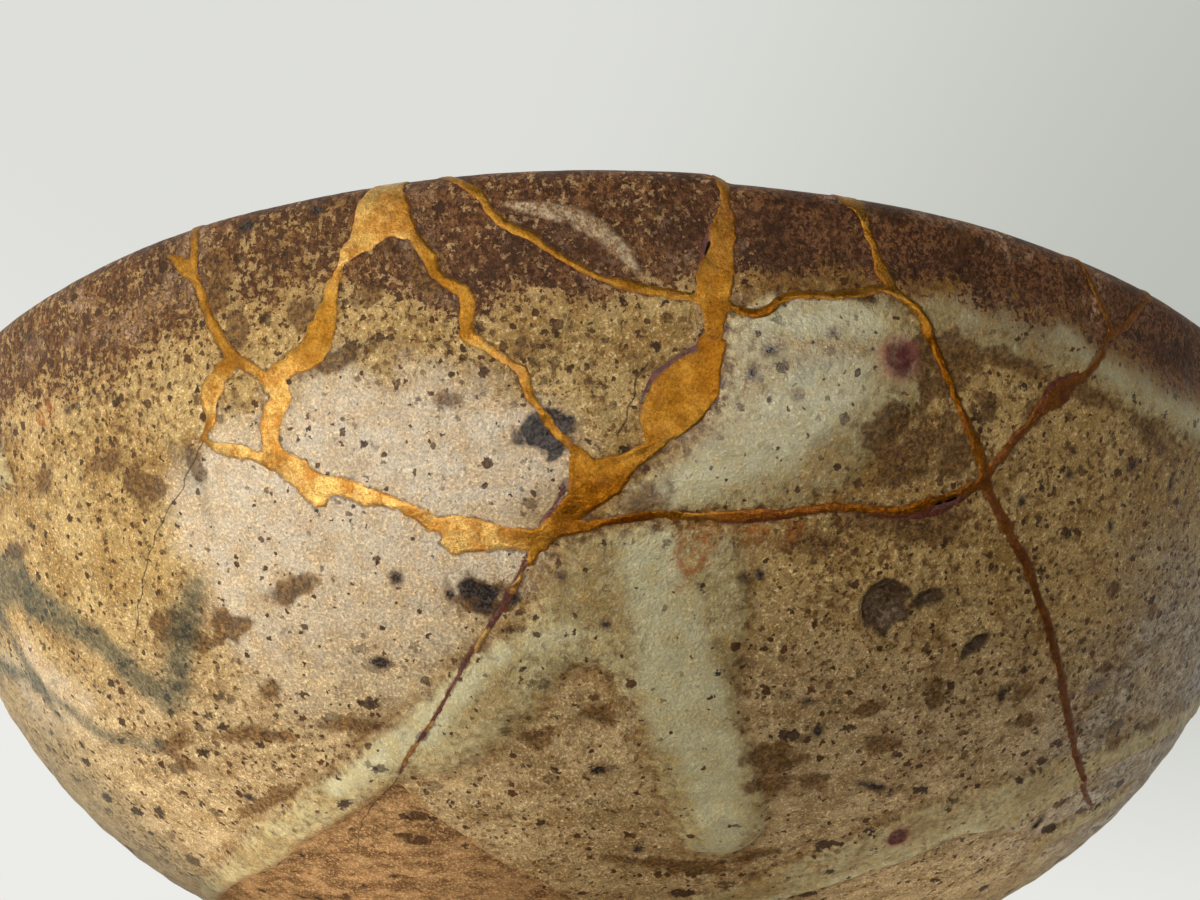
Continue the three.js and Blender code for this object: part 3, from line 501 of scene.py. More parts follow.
STAINS = [(-28.0, 26.2, 1.9, 1.0, -15), (-26.6, 27.4, 1.0, .8, 0), (-35.2, 35.6, .6, 1.2, 20), (-33.6, 34.8, 1.6, .5, 12), (-34.0, 36.8, 1.2, .5, -30), (-17.2, 35.2, 2.6, .5, -6), (-29.4, 41.4, 2.8, .5, 12), (-26.5, 40.4, 1.2, .5, 0), (-6.8, 26.6, 2.0, 1.2, 10), (-8.4, 6.2, 1.0, 2.0, 12), (-10.2, 3.6, .7, 1.3, 0), (-12.9, 10.9, 2.0, .5, 14), (-19.4, 4.6, .8, 2.0, -12), (-18.6, 8.0, .7, 1.1, -20), (-11.2, 7.4, 1.0, .8, 0), (-22.6, 15.6, .7, 1.4, 15), (17.6, 11.0, 1.3, 1.7, -20), (16.5, 16.2, 1.5, 1.4, 30), (19.2, 16.2, 1.2, 1.0, 0), (20.4, 12.2, .7, .9, 20), (21.6, 9.2, 1.6, .5, -6), (33.2, 10.9, 2.4, .6, -8), (27.2, 10.0, 2.0, .5, 0), (14.8, 20.8, 2.4, .45, 8), (19.0, 20.0, 1.8, .5, 12), (2.5, 20.3, 1.9, .8, 35), (-23.9, 26.7, 1.7, 1.1, 0), (-18.5, 25.0, 1.5, .7, 10), (-26.5, 16.3, 1.2, 1.4, 30), (-28.8, 14.0, 1.0, .6, 0), (-22.5, 31.9, .6, .5, 0), (-4.2, 37.1, 1.3, .8, 0), (-.2, 35.1, 1.3, .7, 0), (12.6, 38.4, 1.9, 1.2, 0), (16.2, 40.1, 1.2, .7, 0), (13.0, 40.6, 1.5, .6, 10), (-25.5, 35.2, 2.6, .5, -8), (14.8, 15.2, 1.5, 1.5, 0), (18.0, 14.8, 1.3, 1.0, 0), (23.6, 12.2, .9, .7, 30), (16.6, 9.8, 1.7, 1.6, -30), (18.6, 9.6, 1.5, .8, -10), (19.2, 15.8, 1.1, .6, 0), (16.4, 17.6, 1.6, .5, 20), (-14.8, 7.6, .8, .8, 0), (-7.6, 14.2, .6, .4, 0), (17.8, 20.9, 2.2, .8, 0), (11.5, 22.6, 2.6, .8, 0), (7.4, 49.6, 4.6, .7, -10), (13.6, 48.4, 1.4, .6, 25), (18.0, 34.0, 1.0, .5, 20), (22.6, 31.4, .7, .4, 20), (30.2, 31.0, .6, .4, 25), (32.1, 33.1, .7, .4, 25), (23.3, 32.6, .7, .5, 20), (37.5, 27.6, .5, .4, 30), (45.2, 33.0, .7, .4, 30), (49.5, 30.4, .8, .4, 35), (39.6, 22.4, .4, .5, 10), (-35.0, 13.4, 1.2, .7, 10), (-40.2, 17.0, 1.4, .5, 0), (34.2, 22.0, .5, .4, 0), (20.8, 36.6, 1.3, .6, 10)]
PITS = [(16.9, 26.3, 1.75, 1.85, 10, .55), (19.6, 25.4, 1.2, .55, 22, .3), (24.3, 28.2, 1.30, .5, 50, .4), (-.1, 39.7, .5, .4, 0, .25), (-.2, 35.1, .9, .5, 0, .15), (12.9, 38.4, .7, .5, 0, .2), (15.6, 38.6, 1.2, .4, 0, -.12), (-4.6, 26.0, .45, .3, 0, .2), (-6.7, 26.2, 1.1, .6, 0, .16), (-2.75, 16.2, 1.0, .9, 0, .12), (28.6, 31.5, .3, .5, 0, .2), (44.6, 42.0, .4, .5, 0, .15), (-33.2, 34.9, .7, 1.4, 20, .3), (-36.5, 36.1, 2.2, .5, -15, .22), (-30.5, 34.6, 2.0, .4, -5, .18), (17.4, 40.0, .9, .5, 0, .15), (-1.2, 24.9, .6, .5, 0, -.14), (-23.9, 26.7, 1.2, .7, 0, .12)]
CRIMSON = [(14.9, 10.6, 1.25, 1.3, 0, .75), (27.1, 45.0, 1.05, 1.05, 0, .3)]
ORANGE = [(-33.2, 9.1, 1.3, .8, 0), (4.9, 23.9, 1.0, 2.0, -25), (9.5, 22.1, 2.2, .7, 0)]
PURPLE = [(37.6, 29.1, 1.3, .8, 35)]


def flat_line_sd(u, v, line, ku=KU):
    """Distance inside a tapered line on the flat map, positive inside."""
    best = np.full(np.shape(u), -1e9)
    p = smooth_line([(a, b, w) for a, b, w in line], 1.5)
    for a, b in zip(p[:-1], p[1:]):
        ax, ay, bx, by = a[0] * ku, a[1], b[0] * ku, b[1]
        ex, ey = bx - ax, by - ay
        t = np.clip(((u - ax) * ex + (v - ay) * ey) / (ex * ex + ey * ey + 1e-9), 0, 1)
        best = np.maximum(best, (a[2] + (b[2] - a[2]) * t) / 2 - np.hypot(u - ax - t * ex, v - ay - t * ey))
    return best


def marks(th, l, r, table, rough, p, soft=None):
    """Distance inside the nearest of the marks, positive inside, in mm."""
    best = np.full(np.shape(th), -9.0)
    for m in table:
        near = (np.abs(th - m[0]) < 9) & (np.abs(l - m[1]) < 8)
        if not near.any():
            continue
        u = np.radians(th[near] - m[0]) * r[near]
        v = -(l[near] - m[1])
        c, s = math.cos(math.radians(m[4])), math.sin(math.radians(m[4]))
        x, y = (u * c + v * s) / m[2], (-u * s + v * c) / m[3]
        k = np.hypot(x, y)
        wob = rough[near] * 0.42
        best[near] = np.maximum(best[near], (1 - k + wob) * min(m[2], m[3]))
    return best


def hair(th, l, r):
    """Signed distance across the nearest hairline, and how much of it is there."""
    sd, best, keep = np.full(np.shape(th), 5.0), np.full(np.shape(th), 1e9), np.zeros(np.shape(th))
    for line in HAIRLINES.values():
        q = smooth_line([(a, b, 0) for a, b in line], 0.6)
        q[:, 0] += 0.11 * np.sin(q[:, 1] * 4.1) + 0.08 * np.sin(q[:, 1] * 9.3 + 1)
        for n, (a, b) in enumerate(zip(q[:-1], q[1:])):
            mid = (a[0] + b[0]) / 2
            near = (np.abs(th - mid) < 4) & (np.abs(l - a[1]) < 4)
            if not near.any():
                continue
            u, v = np.radians(th[near] - mid) * r[near], l[near]
            ra, rb = float(outer(a[1])[0]), float(outer(b[1])[0])
            ax, bx = math.radians(a[0] - mid) * ra, math.radians(b[0] - mid) * rb
            ex, ey = bx - ax, b[1] - a[1]
            k = math.hypot(ex, ey)
            t = ((u - ax) * ex + (v - a[1]) * ey) / (k * k)
            tc = np.clip(t, 0, 1)
            d = np.hypot(u - ax - tc * ex, v - a[1] - tc * ey)
            side = np.sign((u - ax) * ey - (v - a[1]) * ex)
            win = d < best[near]
            idx = np.nonzero(near)[0][win]
            best[idx] = d[win]
            sd[idx] = (d * side)[win]
            along = (n + tc[win]) / (len(q) - 1)
            over = np.where(((n == 0) & (t[win] < 0)) | ((n == len(q) - 2) & (t[win] > 1)), 0.0, 1.0)
            keep[idx] = over * np.clip((1 - along) * 4, 0, 1)
    return sd, keep


def zones_out(th, l, p):
    """Every mask on the outside, at angle, depth and place."""
    r = outer(l)[0]
    u, v = th * KU, l
    n3, n1, nh = noise(p, 3.2, 20), noise(p, 1.15, 21), noise(p, 0.7, 22)
    out = {}
    band = np.interp(th, BAND_EDGE[:, 0], BAND_EDGE[:, 1]) - l + 0.8 * n3 + 0.35 * n1 + 0.6 * noise(p, 9, 23)
    tone = 0.22 + sstep(th, -15, -7) * 0.38 + 0.40 * sstep(th, 4, 9)
    tone = np.where(np.abs(th) > 66, 0.6 + 0.35 * noise(p, 30, 29), tone + (1 - tone) * 0.0)
    left = 1 - sstep(th, -15, -7)
    lip = 1 - sstep(l + 0.4 * n1, 0.2, 1.5)
    out["tone"] = np.clip(np.maximum(tone, 0.85 * lip), 0, 1)
    out["band"] = band * (1 - 0.30 * left) + 0.1 * left + 2.0 * lip
    pale = np.full(np.shape(th), -9.0)
    for name, poly in PALE.items():
        pale = np.maximum(pale, poly_sd(u, v, _flat(poly)))
    pale = np.maximum(pale, flat_line_sd(u, v, STRIPE))
    # plainer runs of the same glaze round the back
    back = (np.abs(th) > 66).astype(float)
    q = np.abs(((th + 13) % 47) - 23.5) * KU
    cell = np.floor((th + 13) / 47)
    reach = 22 + 9 * np.sin(cell * 2.3) + 5 * np.sin(cell * 5.1 + 1)
    run = (3.3 + 1.2 * np.sin(cell * 3.7) + 0.9 * noise(p, 14, 24)) * np.sqrt(np.clip(1 - (l - 4) / np.maximum(reach - 4, 1), 0, 1)) - q
    pale = np.where(back > 0, np.maximum(pale, run), pale)
    out["pale"] = np.clip(pale + 0.32 * n3 + 0.16 * n1, -9, 9)
    # White of the thick glaze, and a painted sheen along the stripe's upper edge.
    white_and_sheen = np.zeros(np.shape(th))
    for ln in WHITE_AND_SHEEN:
        white_and_sheen = np.maximum(white_and_sheen, sstep(flat_line_sd(u, v, ln) + 0.40 * n1 + 0.55 * n3, -1.2, 1.2))
    out["white_and_sheen"] = white_and_sheen
    cres = flat_line_sd(u, v, CRESCENT)
    out["crescent"] = np.clip(cres + 0.12 * nh, -5, 5)
    clay = poly_sd(u, v, _flat(CLAY))
    glaze_end = 57.3 + 1.3 * np.sin(np.radians(th) * 3 + 1) + 0.9 * noise(p, 12, 25)
    out["clay"] = np.clip(np.maximum(clay, l - glaze_end) + 0.10 * n1, -9, 9)
    # The pink patch: a pinkish glaze, with a painted sheen in its lighter colour.
    pk = poly_sd(u, v, _flat(PINK_AND_SHEEN))
    pink_and_sheen = sstep(pk + 1.5 * n3 + 0.8 * n1, -2.6, 2.2)
    pink_and_sheen = np.maximum(pink_and_sheen, 0.75 * sstep(poly_sd(u, v, _flat([(-52, 22), (-44, 24), (-40, 30), (-44, 33.5), (-54, 31)])) + 1.5 * n3, -1.5, 2))
    out["pink_and_sheen"] = np.where(np.abs(th) > 66, 0.55 * sstep(noise(p, 22, 26), 0.1, 0.6) * sstep(l, 9, 13), pink_and_sheen)
    zz = flat_line_sd(u, v, ZIGZAG, 1.0)
    sm = flat_line_sd(u, v, SMUDGE, 1.0)
    zz2 = flat_line_sd(u, v, [(-27.5, 14.2, .8), (-26.2, 17.0, .9), (-26.0, 20.4, .8)], 1.0)
    zz3 = np.maximum(flat_line_sd(u, v, [(-47.5, 20.5, 1.4), (-47.2, 25.0, 1.8), (-47.6, 29.5, 1.2)]), flat_line_sd(u, v, [(-40.6, 17.2, .8), (-41.0, 20.0, 1.4), (-43.0, 22.0, 1.2)]))
    out["grey"] = np.clip(sstep(zz + 0.4 * n1, -1.0, 0.9) * 0.9 + 0.85 * sstep(sm + 0.4 * n1, -0.9, 0.7) + 0.4 * sstep(zz2 + 0.3 * n1, -.7, .5) + 0.75 * sstep(zz3 + 0.4 * n1, -.8, .6) + 0.25 * sstep(l, 26, 36) * sstep(-th, 42, 56) * (0.6 + 0.4 * n3) + 0.35 * sstep(-th, 44, 54) * sstep(l, 14, 20), 0, 1)
    # Painted sheen: a grey reflection painted over the lower right.
    out["painted_sheen"] = np.clip(sstep(th, 30, 44) * sstep(l, 13, 20) * (1 - sstep(l, 40, 50)) * (0.75 + 0.35 * noise(p, 5, 27)) * (1 - sstep(th, 80, 110)), 0, 1)
    out["dots"] = marks(th, l, r, BLACKS, 0.8 * nh + 0.7 * n1 + 0.6 * noise(p, 0.42, 19), p)
    out["stain"] = marks(th, l, r, STAINS, nh * 1.3 + n1, p)
    crim = np.zeros(np.shape(th))
    for m in CRIMSON:
        d = np.hypot(np.radians(th - m[0]) * r / m[2], (l - m[1]) / m[3]) + 0.12 * n1
        crim = np.maximum(crim, 1 - sstep(d, 1 - m[5] * 0.75, 1 + m[5] * 0.75))
    out["crimson"] = crim
    out["orange"] = sstep(marks(th, l, r, ORANGE, nh + n1, p), -0.5, 0.5)
    out["purple"] = sstep(marks(th, l, r, PURPLE, nh, p), -0.3, 0.4)
    pit = marks(th, l, r, [m[:5] for m in PITS[:3]], 0.5 * nh + n1 * 0.4, p)
    out["pit"] = pit
    out["wet"] = np.clip(sstep(poly_sd(u, v, _flat([(5, 8), (13.6, 8), (13.2, 14.2), (9, 17.5), (2.5, 20.5), (3.5, 17)])), -1.2, 1.8) + 0.45 * pink_and_sheen * sstep(l, 11, 14) * (1 - sstep(l, 19, 24)), 0, 1)
    out["dense"] = np.clip(0.5 + 0.35 * noise(p, 7, 28) + 0.35 * sstep(th, 7, 14) * sstep(l, 11, 15) * (1 - sstep(l, 32, 38)) + 0.3 * (1 - sstep(l, 10, 17)) - 0.25 * pink_and_sheen, 0, 1)
    sd, keep = hair(th, l, r)
    out["hair"] = np.clip(sd, -3, 3)
    out["hair_on"] = keep
    out["gold"] = np.clip(look_up(WHOLE, th, l), -1, 9)
    out["low"] = sstep(l, 22, 34)
    return out


def zones_in(th, l, p):
    n3, n1 = noise(p, 3.2, 30), noise(p, 1.15, 31)
    z = np.zeros(np.shape(th))
    out = {}
    edge = 8.2 + 1.6 * np.sin(np.radians(th) * 2 + 0.7) + 1.2 * noise(p, 16, 32)
    out["band"] = edge - l + 0.8 * n3 + 0.35 * n1
    out["tone"] = z + 0.6
    q = np.abs(((th + 5) % 40) - 20) * KU
    cell = np.floor((th + 5) / 40)
    reach = 20 + 9 * np.sin(cell * 1.9) + 4 * np.sin(cell * 4.3)
    run = (3.8 + 1.5 * np.sin(cell * 2.9) + 1.2 * noise(p, 14, 33)) * np.sqrt(np.clip(1 - (l - 5) / np.maximum(reach - 5, 1), 0, 1)) - q * np.clip(1 - l / 90, 0.3, 1)
    pool = l - (63 + 2.5 * noise(p, 15, 34) + 1.2 * noise(p, 5, 37))
    out["pale"] = np.clip(np.maximum(run, pool) + 0.35 * n3 + 0.16 * n1, -9, 9)
    out["pink_and_sheen"] = 0.6 * sstep(noise(p, 24, 35), 0.0, 0.6) * sstep(l, 10, 15)
    out["crescent"] = z - 5
    out["clay"] = z - 9
    out["white_and_sheen"] = 0.5 + 0.5 * noise(p, 6, 36)
    out["grey"] = z
    out["painted_sheen"] = z
    out["dots"] = z - 9
    out["stain"] = -0.4 + 1.2 * noise(p, 6, 36) - 0.9
    out["crimson"] = z
    out["orange"] = z
    out["purple"] = z
    out["pit"] = z - 9
    out["wet"] = z + 0.2
    out["dense"] = np.clip(0.45 + 0.4 * noise(p, 8, 37), 0, 1)
    out["hair"] = z + 3
    out["hair_on"] = z
    out["gold"] = np.clip(look_up(WHOLE, th, l), -1, 9)
    out["low"] = z
    return out


# ------------------------------------------------------------------ relief
def rim_lift(th, l):
    """The rim isn't quite level: it steps down at the trunk seam."""
    up = 0.36 * sstep(th, -36, -22) * (1 - sstep(th, 4.9, 6.3))
    down = -0.34 * sstep(th, 4.9, 6.3) * (1 - sstep(th, 30, 46))
    return (up + down) * (1 - sstep(l, 0, 13))


def relief(th, l, p, side):
    """Height of the finished face over the plain section, in mm."""
    end = 1 - sstep(l, LTOT - 2.5, LTOT - 0.3) if side == "out" else 1.0
    h = 0.10 * noise(p, 26, 40) + 0.05 * noise(p, 10, 41) + 0.022 * noise(p, 3.6, 42)
    turn = 0.035 * np.sin(l * 1.35 + 1.6 * noise(p, 30, 43)) + 0.02 * np.sin(l * 3.1 + 2.2 * noise(p, 40, 44))
    h = h + turn * sstep(l, 4, 10)
    h = h + 0.014 * noise(p, 1.7, 45) + 0.010 * noise(p, 0.9, 46)
    z = zones_out(th, l, p) if side == "out" else zones_in(th, l, p)
    # the pale glaze lies thick, with a rounded edge
    h = h + 0.22 * sstep(z["pale"], -0.25, 0.75) + 0.06 * sstep(z["pale"], 0.5, 2.6)
    if side == "out":
        tip = 1 - sstep(np.hypot((th - 10.4) * 0.80 / 3.3, (l - 44.9) / 3.0), 0.45, 1.05)
        h = h + 0.42 * tip * sstep(z["pale"], -0.3, 1.0)
        fold = np.abs((l - 42.2) - 0.10 * (th - 9) + 0.25 * np.sin(th * 1.1))
        h = h - 0.10 * (1 - sstep(fold, 0.0, 0.42)) * sstep(z["pale"], 0.0, 0.8) * sstep(th, 4.5, 6.5) * (1 - sstep(th, 12.6, 13.6))
        h = h + 0.16 * sstep(z["crescent"], -0.15, 0.3)
        edge = np.interp(th, [2, 8, 13, 19.7, 24.2, 29.2, 32.4, 34.4, 39.4, 43.2, 44.2, 46.4, 54, 62], [57.8, 57.2, 55.8, 53.7, 51.0, 48.4, 45.8, 43.9, 43.2, 40.5, 37.5, 35.3, 30.5, 26.0])
        roll = edge - l
        on = sstep(th, 1, 6) * (1 - sstep(th, 58, 66))
        h = h + on * (0.26 * sstep(roll, -0.35, 0.25) * (1 - sstep(roll, 0.3, 1.6)) + 0.05 * sstep(roll, -0.3, 0.3) * (1 - sstep(roll, 1.5, 6)))
        # the stripe stands up most along its upper left
        h = h + 0.16 * sstep(flat_line_sd(th * KU, l, STRIPE), 0.2, 1.7)
        c = sstep(z["clay"], -0.12, 0.28)
        h = h * (1 - 0.75 * c) - 0.20 * c
        h = h + 0.10 * sstep(z["clay"], -0.9, -0.15) * (1 - c)
        for m in PITS:
            near = (np.abs(th - m[0]) < 6) & (np.abs(l - m[1]) < 6)
            if near.any():
                u = np.radians(th[near] - m[0]) * outer(l[near])[0]
                v = -(l[near] - m[1])
                cs, sn = math.cos(math.radians(m[4])), math.sin(math.radians(m[4]))
                k = np.hypot((u * cs + v * sn) / m[2], (-u * sn + v * cs) / m[3]) + 0.12 * noise(p[near], 0.9, 47)
                bowl = -(1 - sstep(k, 0.45, 1.0)) + 0.35 * sstep(k, 0.75, 1.05) * (1 - sstep(k, 1.05, 1.5))
                if m[2] > 2:
                    bowl = bowl + 0.55 * (1 - sstep(k, 0.1, 0.6)) * (0.7 + 0.6 * noise(p[near], 0.6, 48))
                h[near] += m[5] * bowl
    return h * end, z


def skin(th, l, side, extra=0.0):
    """Finished points of one face, with its masks."""
    r, zz, nr, nz = outer(l) if side == "out" else inner(l)
    p = place(th, r, zz)
    h, z = relief(th, l, p, side)
    n = place(th, nr, nz)
    q = p + n * (h + extra)[:, None]
    q[:, 2] += rim_lift(th, l)
    return q, z, n


def base_height(th, l, side):
    """Place, normal and height of the face under the gold, pits included."""
    r, zz, nr, nz = outer(l) if side == "out" else inner(l)
    p = place(th, r, zz)
    h, z = relief(th, l, p, side)
    return p, place(th, nr, nz), h


# ------------------------------------------------------------------ meshes
MASKS = ["band", "tone", "pale", "white_and_sheen", "crescent", "clay", "pink_and_sheen", "grey", "painted_sheen", "dots", "stain", "crimson", "orange", "purple", "pit", "wet", "dense", "hair", "hair_on", "gold", "low"]


def make_object(name, co, faces, attrs, sharp=None):
    used = np.unique(faces)
    remap = np.full(len(co), -1)
    remap[used] = np.arange(len(used))
    faces = remap[faces]
    co = co[used]
    me = bpy.data.meshes.new(name)
    me.vertices.add(len(co))
    me.vertices.foreach_set("co", (co * 0.001).astype(np.float32).ravel())
    me.loops.add(faces.size)
    me.loops.foreach_set("vertex_index", faces.ravel().astype(np.int32))
    me.polygons.add(len(faces))
    me.polygons.foreach_set("loop_start", (np.arange(len(faces)) * 3).astype(np.int32))
    me.update(calc_edges=True)
    for key, val in attrs.items():
        a = me.attributes.new(key, "FLOAT", "POINT")
        a.data.foreach_set("value", np.asarray(val, np.float32)[used])
    if sharp is not None and len(sharp):
        keys = set((min(a, b), max(a, b)) for a, b in remap[sharp].tolist())
        ev = np.zeros(len(me.edges) * 2, np.int32)
        me.edges.foreach_get("vertices", ev)
        ev = np.sort(ev.reshape(-1, 2), 1)
        flag = np.array([(a, b) in keys for a, b in ev.tolist()])
        s = me.attributes.new("sharp_edge", "BOOLEAN", "EDGE")
        s.data.foreach_set("value", flag)
    me.validate()
    ob = bpy.data.objects.new(name, me)
    bpy.context.scene.collection.objects.link(ob)
    return ob


def boundary(tri):
    """Directed edges used by one triangle only."""
    e = np.vstack([tri[:, [0, 1]], tri[:, [1, 2]], tri[:, [2, 0]]])
    key = np.sort(e, 1)
    _, inv, cnt = np.unique(key[:, 0].astype(np.int64) * 10_000_000 + key[:, 1], return_inverse=True, return_counts=True)
    return e[cnt[inv.ravel()] == 1]


CUT = -0.06
cut_chains = []
for closed, chain in contours(WHOLE, CUT):
    if len(chain) < 12:
        continue
    cut_chains.append((closed, resample(chain, closed, 0.26)))
rim_ends = np.array([c[k] for closed, c in cut_chains if not closed for k in (0, -1)])
for closed, c in cut_chains:
    if not closed:
        for k in (0, -1):
            c[k] *= RHO_OUT / np.hypot(*c[k])
end_angles = np.degrees(np.arctan2(rim_ends[:, 0], -rim_ends[:, 1])) if len(rim_ends) else np.zeros(0)
rim_angles = np.concatenate([np.arange(-180, -50, 0.9), np.arange(-50, 55, 0.28), np.arange(55, 180, 0.9)])
_gap = np.min(np.abs(rim_angles[:, None] - end_angles[None, :]), 1) if len(end_angles) else np.full(len(rim_angles), 9.0)
rim_angles = rim_angles[(_gap > 0.12) & (look_up(WHOLE, rim_angles, LTOP + 1e-4) > CUT)]
FOOT_N = 300
foot_angles = np.arange(FOOT_N) * 360 / FOOT_N

shared, shared_kind, cut_edges = [], [], []
for closed, c in cut_chains:
    n0 = len(shared)
    shared.extend(c.tolist())
    shared_kind.extend(["cut"] * len(c))
    if not closed:
        shared_kind[n0] = shared_kind[-1] = "rim"
    ids = list(range(n0, n0 + len(c)))
    cut_edges += list(zip(ids[:-1], ids[1:])) + ([(ids[-1], ids[0])] if closed else [])
for a in rim_angles:
    shared.append(to_disc(a, LTOP).tolist())
    shared_kind.append("rim")
foot0 = len(shared)
for a in foot_angles:
    shared.append(to_disc(a, LTOT).tolist())
    shared_kind.append("foot")
foot_edges = [(foot0 + k, foot0 + (k + 1) % FOOT_N) for k in range(FOOT_N)]
shared = np.array(shared)
kind = np.array([{"cut": 1, "rim": 2, "foot": 3}[k] for k in shared_kind])
NS = len(shared)


def near_shared(pts, gap):
    """True for points closer than gap to a shared point."""
    cells = {}
    g = max(gap, 0.3)
    for x, y in shared.tolist():
        cells.setdefault((int(x // g), int(y // g)), []).append((x, y))
    out = np.zeros(len(pts), bool)
    gg = gap * gap
    for k, (x, y) in enumerate(pts.tolist()):
        cx, cy = int(x // g), int(y // g)
        for dx in (-1, 0, 1):
            for dy in (-1, 0, 1):
                for a, b in cells.get((cx + dx, cy + dy), ()):
                    if (a - x) ** 2 + (b - y) ** 2 < gg:
                        out[k] = True
                        break
                if out[k]:
                    break
            if out[k]:
                break
    return out


def outer_points():
    step = 0.38
    g = lattice(step)
    pts, i, j = g[:, :2], g[:, 2].astype(int), g[:, 3].astype(int)
    th, l = from_disc(pts)
    fine = (np.abs(th - 1) < 43 + 20 * sstep(l, 10, 40)) & (l < 57)
    medium = np.abs(th) < 92
    even2 = (i % 2 == 0) & (j % 2 == 0)
    even4 = (i % 4 == 0) & (j % 4 == 0)
    keep = fine | (medium & even2) | even4
    keep &= (l > LTOP + 0.25) & (l < LTOT - 0.3)
    pts, th, l = pts[keep], th[keep], l[keep]
    f = look_up(WHOLE, th, l)
    ok = f > CUT + 0.13
    pts = pts[ok]
    return pts[~near_shared(pts, 0.16)]


def inner_points():
    g = lattice(1.44)
    pts = g[:, :2]
    th, l = from_disc(pts)
    pts = pts[l > LTOP + 0.5]
    th, l = from_disc(pts)
    ring = np.vstack([to_disc(np.arange(-180, 180, 1.0), LTOP + 0.8), to_disc(np.arange(-180, 180, 1.0) + 0.5, LTOP + 1.7), to_disc(np.arange(-180, 180, 1.2), LTOP + 2.7)])
    pts = np.vstack([pts[l > LTOP + 3.4], ring])
    th, l = from_disc(pts)
    pts = pts[look_up(WHOLE, th, l) > CUT + 0.3]
    return pts[~near_shared(pts, 0.35)]


def cut_mesh(own, with_foot):
    pts = np.vstack([shared, own])
    edges = cut_edges + (foot_edges if with_foot else [])
    pts, tri = triangulate(pts, edges)
    cen = pts[tri].mean(1)
    th, l = from_disc(cen)
    keep = look_up(WHOLE, th, l) > CUT
    keep |= look_up(WHOLE, th, l) > 8
    rho = np.hypot(cen[:, 0], cen[:, 1])
    if with_foot:
        keep &= rho > RHO_IN * math.cos(math.pi / FOOT_N) + 1e-4
    tri = tri[keep]
    return pts, tri, components(tri, len(pts))


out_pts, out_tri, out_comp = cut_mesh(outer_points(), True)
in_pts, in_tri, in_comp = cut_mesh(inner_points(), False)

SPOTS = {
    "bowl_body": (175, 20), "sherd_left_rim": (-15.5, 3), "sherd_left_small": (-18.8, 13), "sherd_centre_left": (-11, 12),
    "sherd_centre": (0, 12), "sherd_rim_centre": (0, 2), "sherd_rim_right": (9.5, 3), "sherd_right": (11, 14),
    "sherd_rim_far_right": (21, 6), "sherd_rim_small": (28.6, 1.5),
}


def component_at(pts, tri, comp, spot):
    at = to_disc(*spot)
    cen = pts[tri].mean(1)
    return comp[np.argmin(np.hypot(cen[:, 0] - at[0], cen[:, 1] - at[1]))]


o_th, o_l = from_disc(out_pts)
o_l = np.clip(o_l, LTOP, LTOT)
i_th, i_l = from_disc(in_pts)
i_l = np.maximum(i_l, LTOP)
o_co, o_z, _ = skin(o_th, o_l, "out")
i_co, i_z, _ = skin(i_th, i_l, "in")
rim_ids = np.nonzero(kind == 2)[0]
i_co[rim_ids] = o_co[rim_ids]
NO = len(out_pts)
weld = np.arange(len(in_pts)) + NO
weld[rim_ids] = rim_ids
all_co = np.vstack([o_co, i_co])
all_z = {k: np.concatenate([o_z[k], i_z[k]]) for k in MASKS}

# the foot, as rings that carry on from the outside
foot_profile = np.array([(33, 7.3), (32.62, 6.5), (32.5, 5.9), (32.42, 4.8), (32.34, 3.6), (32.28, 2.4), (32.2, 1.3), (32.05, .6), (31.7, .12), (31.2, 0), (30.2, 0), (29.2, 0), (28.2, 0), (27.75, 0), (27.35, .16), (27.15, .7), (27.0, 1.6), (26.85, 2.6), (26.6, 3.6), (26.2, 4.4), (25.6, 4.95), (24.8, 5.2), (23, 5.24), (21, 5.28), (19, 5.33), (17, 5.38), (15, 5.4), (13, 5.41), (11, 5.43), (9, 5.45), (7, 5.46), (5, 5.48), (3, 5.49), (1.4, 5.5)])
rings = [np.arange(foot0, foot0 + FOOT_N)]
extra_co, extra_r = [], []
base = len(all_co)
for k, (fr, fz) in enumerate(foot_profile[1:]):
    p = place(foot_angles, np.full(FOOT_N, fr), np.full(FOOT_N, fz))
    wob = 0.10 * noise(p, 11, 50) + 0.03 * noise(p, 2.2, 51) + 0.015 * noise(p, 1.0, 52)
    cutm = 0.02 * np.sin(fz * 6.0 + 1.5 * noise(p, 20, 53))
    if fz > 0.7 and fr > 32:
        q = p + place(foot_angles, np.full(FOOT_N, 1.0), np.zeros(FOOT_N)) * (wob + cutm)[:, None]
    elif fz < 0.05:
        q = p + np.array([0, 0, 1.0]) * np.clip(0.05 + 0.05 * noise(p, 4, 54) + 0.03 * noise(p, 1.2, 55), 0.0, 0.2)[:, None]
    elif fr < 25.5:
        spiral = 0.06 * np.sin(fr * 2.1 + np.radians(foot_angles) + 1.2 * noise(p, 12, 56))
        q = p + np.array([0, 0, 1.0]) * (0.06 * noise(p, 5, 57) + spiral * min(1, fr / 6))[:, None]
    else:
        q = p
    extra_co.append(q)
    rings.append(np.arange(base + k * FOOT_N, base + (k + 1) * FOOT_N))
extra_co.append(np.array([[0, 0, 5.5]]))
centre_id = base + (len(foot_profile) - 1) * FOOT_N
extra_co = np.vstack(extra_co)
foot_faces = []
for a, b in zip(rings[:-1], rings[1:]):
    a2, b2 = np.roll(a, -1), np.roll(b, -1)
    foot_faces += [np.stack([a, b, b2], 1), np.stack([a, b2, a2], 1)]
foot_faces.append(np.stack([rings[-1], np.full(FOOT_N, centre_id), np.roll(rings[-1], -1)], 1))
foot_faces = np.vstack(foot_faces)
all_co = np.vstack([all_co, extra_co])
ne = len(extra_co)
fill = {"clay": 3.0, "pale": -5.0, "band": -9.0, "dots": -9.0, "stain": -9.0, "pit": -9.0, "hair": 3.0, "gold": 9.0, "crescent": -5.0, "dense": 0.4, "low": 1.0}
all_z = {k: np.concatenate([all_z[k], np.full(ne, fill.get(k, 0.0))]) for k in MASKS}

